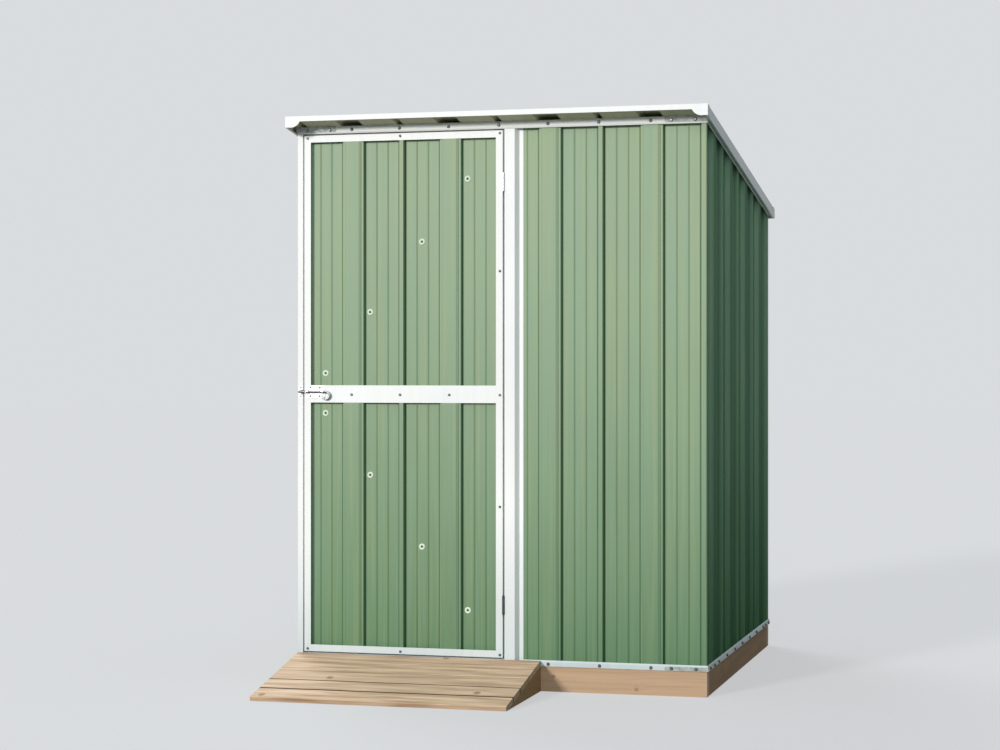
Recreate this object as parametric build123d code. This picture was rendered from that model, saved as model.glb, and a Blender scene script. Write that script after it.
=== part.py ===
# Metal tool shed: folded steel frame, ribbed steel sheets, timber base and ramp.
# Millimetres. +X is to the right of the front, +Y to the rear and +Z up.
# The origin is at ground level, under the centre of the wall footprint.
from build123d import *
from math import atan2, cos, hypot, radians, sin, tan
import os

# Shed, measured over the crests of the wall sheets
WIDTH = 1520.0
DEPTH = 1520.0
FRONT_HEIGHT = 2039.5
REAR_HEIGHT = 1815.0

# Folded steel and the fits between pieces
STEEL = 1.2
FIT = 0.3

# Ribbed sheet: wide rib, pan, narrow rib, pan
RIB_DEPTH = 16.0
WIDE_RIB = 88.0
NARROW_RIB = 25.0
PAN = 128.5
FLANK = 5.0
LEDGE_DEPTH = 3.0
LEDGE_WIDTH = 7.0
LEDGE_RISE = 3.0
SWAGE_HALF = 4.0
SWAGE_HEIGHT = 2.0
LAP_LIP = 8.0
CORNER_CREST = 20.0
CORNER_RETURN = 8.0
CORNER_LAP = 16.0
FRONT_RIB_INSET = 168.5
SIDE_RIB_INSET = 120.0

# Timber base
BASE_HEIGHT = 90.0
BEARER = 45.0
JOIST_WIDTH = 45.0
JOIST_SPACING = 380.0
DECK = 20.0

# Ramp, with the gaps between its boards from the top down
RAMP_WIDTH = 920.0
RAMP_TOE = 15.0
RAMP_RUN = 482.0
RAMP_BOARD = 20.0
RAMP_GAPS = (1.0, 1.0, 4.0, 5.0)
RAMP_ARRIS = 1.5
CHEEK = 45.0

# Base and top rails: folded angles whose outer leg is kicked in to meet the sheet
BASE_RAIL_FACE = 21.5
TOP_RAIL_FACE = 25.5
RAIL_WEB = 30.0
KICK = 2.5
KICK_RISE = 6.0
SILL_FACE = 19.5

# Joiners over the rails at the corners
JOINER_LENGTH = 150.0
JOINER_RETURN = 60.0
JOINER_ROUND = 6.0

# Doorway and jambs
DOORWAY_WIDTH = 766.1
LEFT_JAMB_FACE = 19.8
RIGHT_JAMB_FACE = 36.4
JAMB_FLANGE = 33.3
JAMB_DEPTH = 28.0
STOP_LIP = 18.5
SILL_STOP = 8.0
HEAD_STOP = 8.0
FRAME_PROUD = 3.0
PANEL_TUCK = 32.0

# Door
DOOR_GAP = 5.5
HINGE_GAP = 6.3
DOOR_TOP_GAP = 5.2
DOOR_BOTTOM_GAP = 5.5
STILE_FACE = 25.0
TOP_RAIL = 25.0
BOTTOM_RAIL = 25.0
MID_RAIL = 63.3
MID_RAIL_HEIGHT = 1060.4
BRACE_WIDTH = 30.0
BRACE_DEPTH = 12.0
BRACE_INSET = 5.0
BRACE_RISE = 20.0

# Hinges
HINGE_LENGTH = 67.0
HINGE_LEAF = 1.5
HINGE_BARREL = 4.0
HINGE_PIN = 1.6
HINGE_BORE = 1.7
HINGE_LEAF_WIDTH = 18.0
HINGE_TOP_SETBACK = 185.8
HINGE_BOTTOM_SETBACK = 189.0
KNUCKLES = 3
KNUCKLE_GAP = 0.5

# Pad bolt
BOLT_RISE = 7.6
BOLT_ROD = 3.5
BOLT_TIP = 1.2
BOLT_STANDOFF = 8.5
BOLT_PLATE = 1.5
BOLT_PLATE_INSET = 7.0
BOLT_PLATE_LENGTH = 73.0
BOLT_PLATE_HEIGHT = 46.0
GUIDE_WALL = 1.8
GUIDE_WIDTH = 9.0
GUIDE_CLEARANCE = 0.4
GUIDE_INSETS = (6.0, 66.0)
ROD_PAST_PLATE = 7.6
KEEPER_INSET = 5.3
KEEPER_WIDTH = 13.0
KEEPER_HEIGHT = 46.0
KEEPER_MOUTH = 1.5
KEEPER_LIP = 2.5
KEEPER_LIP_LENGTH = 11.5
HANDLE_RADIUS = 13.4
HANDLE_SWEEP = 215.0
HANDLE_TAIL = 10.0

# Roof sheets and flashings
FRONT_OVERHANG = 90.0
REAR_OVERHANG = 65.0
SIDE_OVERHANG = 18.0
FLASHING_FACE = 40.0
FLASHING_TOP = 44.0
FLASHING_LIP = 8.0
FLASHING_RETURN = 43.0
EAR_WIDTH = 56.0
EAR_CURVE_WIDTH = 41.0
EAR_SAG = 0.3

# Places worked out from the sizes above
HALF_W = WIDTH / 2
HALF_D = DEPTH / 2
PITCH = atan2(FRONT_HEIGHT - REAR_HEIGHT, DEPTH)
PERIOD = WIDE_RIB + NARROW_RIB + 2 * PAN
SHEET_DEPTH = RIB_DEPTH + STEEL
LAYER = FIT + STEEL
RAIL_FACE_X = HALF_W + LAYER + KICK
RAIL_FACE_Y = HALF_D + LAYER + KICK
FRAME_FACE_Y = -HALF_D - FRAME_PROUD
HEADER_LIP_Y = FRAME_FACE_Y - LAYER
HEADER_FACE_Y = HEADER_LIP_Y - KICK
FRONT_FIRST_RIB = -HALF_W + FRONT_RIB_INSET
SIDE_FIRST_RIB = -HALF_D + SIDE_RIB_INSET
LEFT_JAMB_X = -HALF_W - FIT
DOORWAY_LEFT = LEFT_JAMB_X + LEFT_JAMB_FACE
RIGHT_JAMB_X = DOORWAY_LEFT + DOORWAY_WIDTH
DOOR_LEFT = DOORWAY_LEFT + DOOR_GAP
DOOR_RIGHT = RIGHT_JAMB_X - HINGE_GAP
SILL_TOP = BASE_HEIGHT + SILL_FACE
DOOR_BOTTOM = SILL_TOP + DOOR_BOTTOM_GAP
HEADER_BOTTOM = FRONT_HEIGHT - TOP_RAIL_FACE
DOOR_TOP = HEADER_BOTTOM - DOOR_TOP_GAP
DOOR_BACK_Y = FRAME_FACE_Y + SHEET_DEPTH + 2 * FIT + 2 * STEEL
STOP_Y = FRAME_FACE_Y + JAMB_DEPTH
STOP_LEFT = DOORWAY_LEFT + STOP_LIP + FIT
STOP_RIGHT = RIGHT_JAMB_X - FIT
JAMB_FOOT = BASE_HEIGHT + STEEL
HINGE_X = RIGHT_JAMB_X - HINGE_GAP / 2
HINGE_Y = FRAME_FACE_Y - HINGE_BARREL
HINGE_HEIGHTS = (DOOR_BOTTOM + HINGE_BOTTOM_SETBACK, DOOR_TOP - HINGE_TOP_SETBACK)
PANEL_LEFT = RIGHT_JAMB_X + RIGHT_JAMB_FACE - PANEL_TUCK
JAMB_RIGHT = RIGHT_JAMB_X + RIGHT_JAMB_FACE + JAMB_FLANGE
ROD_Y = FRAME_FACE_Y - BOLT_STANDOFF
BOLT_HEIGHT = MID_RAIL_HEIGHT + BOLT_RISE


def roof_height(y, offset=0.0):
    """Height of the plane that carries the roof sheets, or of one beside it."""
    return FRONT_HEIGHT - (y + HALF_D) * tan(PITCH) + offset / cos(PITCH)


def mitred(line, distance):
    """The open line moved to its left by a distance, with mitred corners."""
    normals = []
    for (ax, ay), (bx, by) in zip(line, line[1:]):
        length = hypot(bx - ax, by - ay)
        normals.append(((ay - by) / length, (bx - ax) / length))
    before = [normals[0]] + normals
    after = normals + [normals[-1]]
    moved = []
    for (x, y), (px, py), (qx, qy) in zip(line, before, after):
        scale = distance / (1 + px * qx + py * qy)
        moved.append((x + (px + qx) * scale, y + (py + qy) * scale))
    return moved


def outline_prism(outline, plane, length):
    """A closed outline drawn on a plane and pushed along the plane's normal."""
    face = make_face(Polyline(*outline, close=True))
    return extrude(plane * face, amount=length, dir=plane.z_dir)


def folded(line, plane, length):
    """A steel strip folded along an open line, with its thickness on the line's left."""
    outline = list(line) + mitred(line, STEEL)[::-1]
    return outline_prism(outline, plane, length)


def block(low, high):
    """A box between two corners."""
    size = [b - a for a, b in zip(low, high)]
    return Pos(*low) * Box(*size, align=(Align.MIN, Align.MIN, Align.MIN))


def below_roof(solid, offset):
    """The part of a solid that lies under the roof plane moved by an offset."""
    cut = Plane(origin=(0, -HALF_D, roof_height(-HALF_D, offset)),
                x_dir=(1, 0, 0), z_dir=(0, sin(PITCH), cos(PITCH)))
    return split(solid, bisect_by=cut, keep=Keep.BOTTOM)


def wall_plane(side, z):
    """A wall's cross-section in plan: X runs to its right from outside, and Y inwards."""
    places = {
        "front": ((0, -HALF_D, z), (1, 0, 0)),
        "right": ((HALF_W, 0, z), (0, 1, 0)),
        "rear": ((0, HALF_D, z), (-1, 0, 0)),
        "left": ((-HALF_W, 0, z), (0, -1, 0)),
    }
    origin, across = places[side]
    return Plane(origin=origin, x_dir=across, z_dir=(0, 0, 1))


def rail_section(side, start, z):
    """The section of a rail on one wall: X runs into the shed and Y up."""
    wall = wall_plane(side, z)
    return Plane(origin=wall.origin + wall.x_dir * start, x_dir=wall.y_dir, z_dir=wall.x_dir)


def roof_plane(y):
    """The roof's cross-section, with X to the right and Y pointing down."""
    return Plane(origin=(0, y, roof_height(y)), x_dir=(1, 0, 0),
                 z_dir=(0, cos(PITCH), -sin(PITCH)))


def repeat_stations():
    """Points of one repeat of the sheet: distance across and depth behind the crest."""
    top = FLANK + LEDGE_WIDTH + LEDGE_RISE
    half = [(0, RIB_DEPTH), (FLANK, LEDGE_DEPTH), (FLANK + LEDGE_WIDTH, LEDGE_DEPTH), (top, 0)]
    stations = half + [(WIDE_RIB - u, d) for u, d in half[::-1]]

    def add_swages(start):
        for third in (1, 2):
            centre = start + PAN * third / 3
            stations.append((centre - SWAGE_HALF, RIB_DEPTH))
            stations.append((centre, RIB_DEPTH - SWAGE_HEIGHT))
            stations.append((centre + SWAGE_HALF, RIB_DEPTH))

    narrow = WIDE_RIB + PAN
    add_swages(WIDE_RIB)
    stations.append((narrow, RIB_DEPTH))
    stations.append((narrow + FLANK, 0))
    stations.append((narrow + NARROW_RIB - FLANK, 0))
    stations.append((narrow + NARROW_RIB, RIB_DEPTH))
    add_swages(narrow + NARROW_RIB)
    return stations


def ribbed_line(start, stop, first_rib):
    """The sheet's outer line between two places, on a grid with a wide rib at first_rib."""
    line = []
    repeat = int((start - first_rib) // PERIOD) - 1
    while first_rib + repeat * PERIOD < stop + PERIOD:
        line += [(first_rib + repeat * PERIOD + u, d) for u, d in repeat_stations()]
        repeat += 1

    def at(place):
        for (ua, da), (ub, db) in zip(line, line[1:]):
            if ua <= place <= ub:
                return (place, da + (db - da) * (place - ua) / (ub - ua))

    shortest = 2 * STEEL
    inside = [p for p in line if start + shortest < p[0] < stop - shortest]
    return [at(start)] + inside + [at(stop)]


def narrow_rib_near(place, first_rib):
    """Where the narrow rib nearest to a place starts."""
    start = first_rib + WIDE_RIB + PAN
    return start + round((place - start) / PERIOD) * PERIOD


def lapped(start, stop, first_rib):
    """A sheet line that starts with a lip laid over its neighbour's pan."""
    lip = [(start - LAP_LIP, RIB_DEPTH - STEEL), (start, RIB_DEPTH - STEEL)]
    return lip + ribbed_line(start, stop, first_rib)[1:]


# The crest that ends a sheet at a corner, and the folds that carry it round over the next pan
CORNER_FOLD = [(-CORNER_CREST, 0), (0, 0), (0, CORNER_RETURN),
               (-RIB_DEPTH + STEEL, CORNER_RETURN + FLANK),
               (-RIB_DEPTH + STEEL, CORNER_RETURN + FLANK + CORNER_LAP)]
CORNER_START = HALF_W - CORNER_CREST - FLANK


def right_corner(line):
    """A sheet line carried on round its right-hand corner."""
    return line + [(HALF_W + u, d) for u, d in CORNER_FOLD]


def left_corner(line):
    """A sheet line that comes round its left-hand corner first."""
    return [(-HALF_W - u, d) for u, d in CORNER_FOLD[::-1]] + line


def make_timber_base():
    """Bearers round the edge, joists between them and a deck flush with their tops."""
    inner_x = HALF_W - BEARER
    inner_y = HALF_D - BEARER
    nodes = {
        "front_bearer": block((-HALF_W, -HALF_D, 0), (HALF_W, -inner_y, BASE_HEIGHT)),
        "rear_bearer": block((-HALF_W, inner_y, 0), (HALF_W, HALF_D, BASE_HEIGHT)),
        "left_bearer": block((-HALF_W, -inner_y, 0), (-inner_x, inner_y, BASE_HEIGHT)),
        "right_bearer": block((inner_x, -inner_y, 0), (HALF_W, inner_y, BASE_HEIGHT)),
    }
    joists = []
    for place in (-JOIST_SPACING, 0.0, JOIST_SPACING):
        joists.append(block((place - JOIST_WIDTH / 2, -inner_y, 0),
                            (place + JOIST_WIDTH / 2, inner_y, BASE_HEIGHT - DECK)))
    nodes["floor_joists"] = Compound(children=joists)
    nodes["floor_deck"] = block((-inner_x, -inner_y, BASE_HEIGHT - DECK),
                                (inner_x, inner_y, BASE_HEIGHT))
    return nodes


def make_ramp():
    """Boards laid across two tapered cheeks, from the sill down to the ground."""
    slope = atan2(SILL_TOP - RAMP_TOE, RAMP_RUN)
    back = -RAIL_FACE_Y - FIT
    boards_in_all = len(RAMP_GAPS) + 1
    board = (RAMP_RUN / cos(slope) - sum(RAMP_GAPS)) / boards_in_all
    down = Plane(origin=(-HALF_W, back, SILL_TOP), x_dir=(0, -cos(slope), -sin(slope)),
                 z_dir=(-1, 0, 0))
    room = block((-HALF_W, back - RAMP_RUN, 0), (-HALF_W + RAMP_WIDTH, back, SILL_TOP))
    boards = []
    top = 0.0
    for gap in RAMP_GAPS + (0.0,):
        foot = top + board
        outline = [(top, -RAMP_BOARD), (top, -RAMP_ARRIS), (top + RAMP_ARRIS, 0),
                   (foot - RAMP_ARRIS, 0), (foot, -RAMP_ARRIS), (foot, -RAMP_BOARD)]
        boards.append(outline_prism(outline, down, -RAMP_WIDTH) & room)
        top = foot + gap
    drop = RAMP_BOARD / cos(slope)
    run_out = (SILL_TOP - drop) / tan(slope)
    cheek = [(-HALF_D, 0), (back - run_out, 0), (back, SILL_TOP - drop), (-HALF_D, SILL_TOP - drop)]
    left = Plane(origin=(-HALF_W, 0, 0), x_dir=(0, 1, 0), z_dir=(1, 0, 0))
    right = left.offset(RAMP_WIDTH - CHEEK)
    return {
        "ramp_boards": Compound(children=boards),
        "ramp_left_cheek": outline_prism(cheek, left, CHEEK),
        "ramp_right_cheek": outline_prism(cheek, right, CHEEK),
    }


def mitre(rail, corner_x, corner_y, runs_back):
    """A rail cut in plan on the diagonal through one corner of the shed."""
    normal = Vector(corner_x / abs(corner_x), -corner_y / abs(corner_y), 0).normalized()
    half_gap = FIT / 2 if runs_back else -FIT / 2
    cut = Plane(origin=Vector(corner_x, corner_y, 0) + normal * half_gap, z_dir=normal)
    return split(rail, bisect_by=cut, keep=Keep.TOP if runs_back else Keep.BOTTOM)


def make_base_rails():
    """The white angles screwed to the timber round the foot of the walls."""
    line = [(-LAYER, BASE_RAIL_FACE), (-LAYER - KICK, BASE_RAIL_FACE - KICK_RISE),
            (-LAYER - KICK, 0), (RAIL_WEB, 0)]

    def rail(side, start, stop):
        return folded(line, rail_section(side, start, BASE_HEIGHT), stop - start)

    front = rail("front", JAMB_RIGHT + FIT, RAIL_FACE_X)
    rear = rail("rear", -RAIL_FACE_X, RAIL_FACE_X)
    left = rail("left", -RAIL_FACE_Y, HALF_D + FIT)
    right = rail("right", -RAIL_FACE_Y, RAIL_FACE_Y)
    rear = mitre(rear, -RAIL_FACE_X, RAIL_FACE_Y, False)
    right = mitre(right, RAIL_FACE_X, -RAIL_FACE_Y, True)

    plane = wall_plane("front", BASE_HEIGHT)
    leg_start = DOORWAY_LEFT + LAYER
    leg_stop = STOP_RIGHT
    leg = [(leg_start, -LAYER), (leg_stop, -LAYER), (leg_stop, -FIT), (leg_start, -FIT)]
    web_start = RAIL_WEB - HALF_W
    web = [(web_start, -LAYER), (JAMB_RIGHT, -LAYER),
           (JAMB_RIGHT, RAIL_WEB), (web_start, RAIL_WEB)]
    sill = outline_prism(leg, plane, SILL_FACE) + outline_prism(web, plane, STEEL)
    sill += block((STOP_LEFT, STOP_Y - STEEL, BASE_HEIGHT),
                  (STOP_RIGHT, STOP_Y, DOOR_BOTTOM + SILL_STOP))
    return {
        "front_base_rail": mitre(front, RAIL_FACE_X, -RAIL_FACE_Y, False),
        "rear_base_rail": mitre(rear, RAIL_FACE_X, RAIL_FACE_Y, False),
        "left_base_rail": mitre(left, -RAIL_FACE_X, RAIL_FACE_Y, True),
        "right_base_rail": mitre(right, RAIL_FACE_X, RAIL_FACE_Y, True),
        "door_sill": sill,
    }


def make_top_rails():
    """The header, the rear rail and the two rake rails under the roof."""
    across = Plane(origin=(-RAIL_FACE_X, 0, 0), x_dir=(0, 1, 0), z_dir=(1, 0, 0))
    header_web = RAIL_WEB - HALF_D
    header = [(header_web, roof_height(header_web)), (HEADER_FACE_Y, roof_height(HEADER_FACE_Y)),
              (HEADER_FACE_Y, HEADER_BOTTOM + KICK_RISE), (HEADER_LIP_Y, HEADER_BOTTOM)]
    rear_bottom = REAR_HEIGHT - TOP_RAIL_FACE
    rear_web = HALF_D - RAIL_WEB
    rear = [(HALF_D + LAYER, rear_bottom), (RAIL_FACE_Y, rear_bottom + KICK_RISE),
            (RAIL_FACE_Y, roof_height(RAIL_FACE_Y)), (rear_web, roof_height(rear_web))]
    nodes = {
        "front_header_rail": (header, HEADER_FACE_Y),
        "rear_top_rail": (rear, RAIL_FACE_Y),
    }
    for node, (line, corner_y) in nodes.items():
        rail = mitre(folded(line, across, 2 * RAIL_FACE_X), -RAIL_FACE_X, corner_y, False)
        nodes[node] = mitre(rail, RAIL_FACE_X, corner_y, False)

    start = roof_plane(-HALF_D - RAIL_WEB)
    length = (DEPTH + 2 * RAIL_WEB) / cos(PITCH)
    right = [(HALF_W - RAIL_WEB, 0), (RAIL_FACE_X, 0), (RAIL_FACE_X, TOP_RAIL_FACE - KICK_RISE),
             (HALF_W + LAYER, TOP_RAIL_FACE)]
    left = [(-u, d) for u, d in right[::-1]]
    for side, line, corner_x in (("left", left, -RAIL_FACE_X), ("right", right, RAIL_FACE_X)):
        rail = mitre(folded(line, start, length), corner_x, HEADER_FACE_Y, True)
        nodes[f"{side}_rake_rail"] = mitre(rail, corner_x, RAIL_FACE_Y, True)
    return nodes


def make_joiners():
    """Round-ended plates folded over the ends of the rails at the corners."""
    outer_x = RAIL_FACE_X + LAYER

    def joiner(face_y, side_end, low, high):
        front_y = face_y - LAYER
        line = [(HALF_W - JOINER_LENGTH, front_y), (outer_x, front_y), (outer_x, side_end)]
        plate = folded(line, Plane(origin=(0, 0, low)), high - low)
        ends = (plate.edges().filter_by(Axis.Y).group_by(Axis.X)[0]
                + plate.edges().filter_by(Axis.X).group_by(Axis.Y)[-1])
        return fillet(ends, JOINER_ROUND)

    top = below_roof(joiner(HEADER_FACE_Y, HEADER_FACE_Y + JOINER_RETURN,
                            HEADER_BOTTOM + KICK_RISE + FIT, FRONT_HEIGHT + KICK_RISE), -FIT)
    foot = joiner(-RAIL_FACE_Y, JOINER_LENGTH - HALF_D, BASE_HEIGHT + FIT,
                  BASE_HEIGHT + BASE_RAIL_FACE - KICK_RISE - FIT)
    rear_foot = mirror(foot, about=Plane.XZ)
    return {
        "header_joiners": Compound(children=[top, mirror(top, about=Plane.YZ)]),
        "base_joiners": Compound(children=[foot, rear_foot, mirror(rear_foot, about=Plane.YZ)]),
    }


def wall_sheet(side, line):
    """A ribbed sheet that stands in the base rail and is cut off under the top rail."""
    return below_roof(folded(line, wall_plane(side, BASE_HEIGHT + STEEL), FRONT_HEIGHT), -LAYER)


def make_walls():
    """The fixed front panel, and two lapped sheets on each other wall."""
    tucked = [(PANEL_LEFT, RIB_DEPTH)]
    front = right_corner(tucked + ribbed_line(JAMB_RIGHT + FIT, CORNER_START, FRONT_FIRST_RIB))

    edge = HALF_D - SHEET_DEPTH - LAYER
    lap = narrow_rib_near(0, SIDE_FIRST_RIB)
    left_first = -SIDE_FIRST_RIB - WIDE_RIB
    left_lap = narrow_rib_near(0, left_first)
    jamb_end = -FRAME_FACE_Y - JAMB_DEPTH
    behind_jamb = STEEL - FIT
    tuck = [(jamb_end - FLANK / 2, behind_jamb), (jamb_end + JAMB_DEPTH / 2, behind_jamb)]
    left_front = lapped(left_lap, jamb_end - 2 * FLANK, left_first) + tuck

    rear_lap = narrow_rib_near(0, FRONT_FIRST_RIB)
    rear_right = left_corner(ribbed_line(-CORNER_START, rear_lap, FRONT_FIRST_RIB))
    rear_left = right_corner(lapped(rear_lap, CORNER_START, FRONT_FIRST_RIB))
    return {
        "front_panel": wall_sheet("front", front),
        "right_wall_front_sheet": wall_sheet("right", ribbed_line(-edge, lap, SIDE_FIRST_RIB)),
        "right_wall_rear_sheet": wall_sheet("right", lapped(lap, edge, SIDE_FIRST_RIB)),
        "left_wall_rear_sheet": wall_sheet("left", ribbed_line(-edge, left_lap, left_first)),
        "left_wall_front_sheet": wall_sheet("left", left_front),
        "rear_wall_right_sheet": wall_sheet("rear", rear_right),
        "rear_wall_left_sheet": wall_sheet("rear", rear_left),
    }


def make_jambs():
    """The corner jamb and the head with the door's stop, and the jamb beside the panel."""
    plane = Plane(origin=(0, 0, JAMB_FOOT), x_dir=(1, 0, 0), z_dir=(0, 0, 1))
    left = [(LEFT_JAMB_X, STOP_Y), (LEFT_JAMB_X, FRAME_FACE_Y), (DOORWAY_LEFT, FRAME_FACE_Y),
            (DOORWAY_LEFT, STOP_Y), (DOORWAY_LEFT + STOP_LIP, STOP_Y)]
    pan_y = -HALF_D + RIB_DEPTH - STEEL
    step = RIGHT_JAMB_X + RIGHT_JAMB_FACE
    right = [(RIGHT_JAMB_X, STOP_Y), (RIGHT_JAMB_X, FRAME_FACE_Y), (step, FRAME_FACE_Y),
             (step, pan_y), (JAMB_RIGHT, pan_y)]
    across = Plane(origin=(STOP_LEFT, 0, 0), x_dir=(0, 1, 0), z_dir=(1, 0, 0))
    drop = -LAYER - STEEL
    head = [(FRAME_FACE_Y, roof_height(FRAME_FACE_Y, drop)),
            (STOP_Y - STEEL, roof_height(STOP_Y - STEEL, drop)),
            (STOP_Y - STEEL, DOOR_TOP - HEAD_STOP)]
    return {
        "door_head_stop": folded(head, across, STOP_RIGHT - STOP_LEFT),
        "left_door_jamb": below_roof(folded(left, plane, FRONT_HEIGHT), -LAYER),
        "right_door_jamb": below_roof(folded(right, plane, FRONT_HEIGHT), -LAYER),
    }


def make_roof_sheets():
    """Two lapped roof sheets that stop just inside the flashings."""
    start_y = -HALF_D - FRONT_OVERHANG + LAYER
    stop_y = HALF_D + REAR_OVERHANG - LAYER
    edge = HALF_W + SIDE_OVERHANG - 2 * LAYER
    lap = narrow_rib_near(0, FRONT_FIRST_RIB)
    lines = {
        "roof_left_sheet": ribbed_line(-edge, lap, FRONT_FIRST_RIB),
        "roof_right_sheet": lapped(lap, edge, FRONT_FIRST_RIB),
    }
    return {node: sloped([(u, d - SHEET_DEPTH) for u, d in line], start_y, stop_y)
            for node, line in lines.items()}


def sloped(line, start_y, stop_y):
    """A strip folded along a line of the roof's cross-section, with its ends cut plumb."""
    spare = 2 * FLASHING_FACE
    length = (stop_y - start_y + 2 * spare) / cos(PITCH)
    room = block((-WIDTH, start_y, 0), (WIDTH, stop_y, 2 * FRONT_HEIGHT))
    return folded(line, roof_plane(start_y - spare), length) & room


def fascia_face(high, low, soffit, outer):
    """The front flashing's outline: a straight strip with an ear curved down at each end."""
    ear = outer - EAR_WIDTH
    curve = ear + EAR_CURVE_WIDTH
    bend_x = ear + EAR_CURVE_WIDTH * EAR_SAG
    bend_z = soffit + (low - soffit) * (1 - EAR_SAG)
    return make_face([
        Line((outer, high), (-outer, high)),
        Line((-outer, high), (-outer, low)),
        Line((-outer, low), (-curve, low)),
        ThreePointArc((-curve, low), (-bend_x, bend_z), (-ear, soffit)),
        Line((-ear, soffit), (ear, soffit)),
        ThreePointArc((ear, soffit), (bend_x, bend_z), (curve, low)),
        Line((curve, low), (outer, low)),
        Line((outer, low), (outer, high)),
    ])


def make_flashings():
    """Barges down both sides, and front and rear flashings with ends returned over them."""
    outer = HALF_W + SIDE_OVERHANG
    cover = SHEET_DEPTH + STEEL
    front_y = -HALF_D - FRONT_OVERHANG
    rear_y = HALF_D + REAR_OVERHANG

    barge_x = outer - LAYER
    barge = [(barge_x - FLASHING_TOP, -cover), (barge_x, -cover),
             (barge_x, FLASHING_FACE - cover), (barge_x - FLASHING_LIP, FLASHING_FACE - cover)]
    mirrored = [(-u, d) for u, d in barge[::-1]]

    across = Plane(origin=(FLASHING_TOP + FIT - barge_x, 0, 0), x_dir=(0, 1, 0), z_dir=(1, 0, 0))
    width = 2 * (barge_x - FLASHING_TOP - FIT)

    def capping(from_y, to_y):
        under = [(y, roof_height(y, SHEET_DEPTH)) for y in (from_y, to_y)]
        over = [(y, roof_height(y, cover)) for y in (to_y, from_y)]
        return outline_prism(under + over, across, width)

    def returns(from_y, to_y):
        edge = [(y, roof_height(y, cover)) for y in (from_y, to_y)]
        outline = edge + [(y, z - FLASHING_FACE) for y, z in edge[::-1]]
        side = Plane(origin=(outer - STEEL, 0, 0), x_dir=(0, 1, 0), z_dir=(1, 0, 0))
        right = outline_prism(outline, side, STEEL)
        return right + mirror(right, about=Plane.YZ)

    high = roof_height(front_y, cover)
    upright = Plane(origin=(0, front_y, 0), x_dir=(1, 0, 0), z_dir=(0, -1, 0))
    outline = fascia_face(high, high - FLASHING_FACE, roof_height(front_y), outer)
    fascia = extrude(upright * outline, amount=STEEL, dir=(0, 1, 0))
    rear_high = roof_height(rear_y, cover)
    rear_strip = block((-outer, rear_y - STEEL, rear_high - FLASHING_FACE),
                       (outer, rear_y, rear_high))
    return {
        "right_barge_flashing": sloped(barge, front_y + LAYER, rear_y - LAYER),
        "left_barge_flashing": sloped(mirrored, front_y + LAYER, rear_y - LAYER),
        "front_roof_flashing": (fascia + capping(front_y, front_y + FLASHING_TOP)
                                + returns(front_y, front_y + FLASHING_RETURN)),
        "rear_roof_flashing": (rear_strip + capping(rear_y - FLASHING_TOP, rear_y)
                               + returns(rear_y - FLASHING_RETURN, rear_y)),
    }


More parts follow.
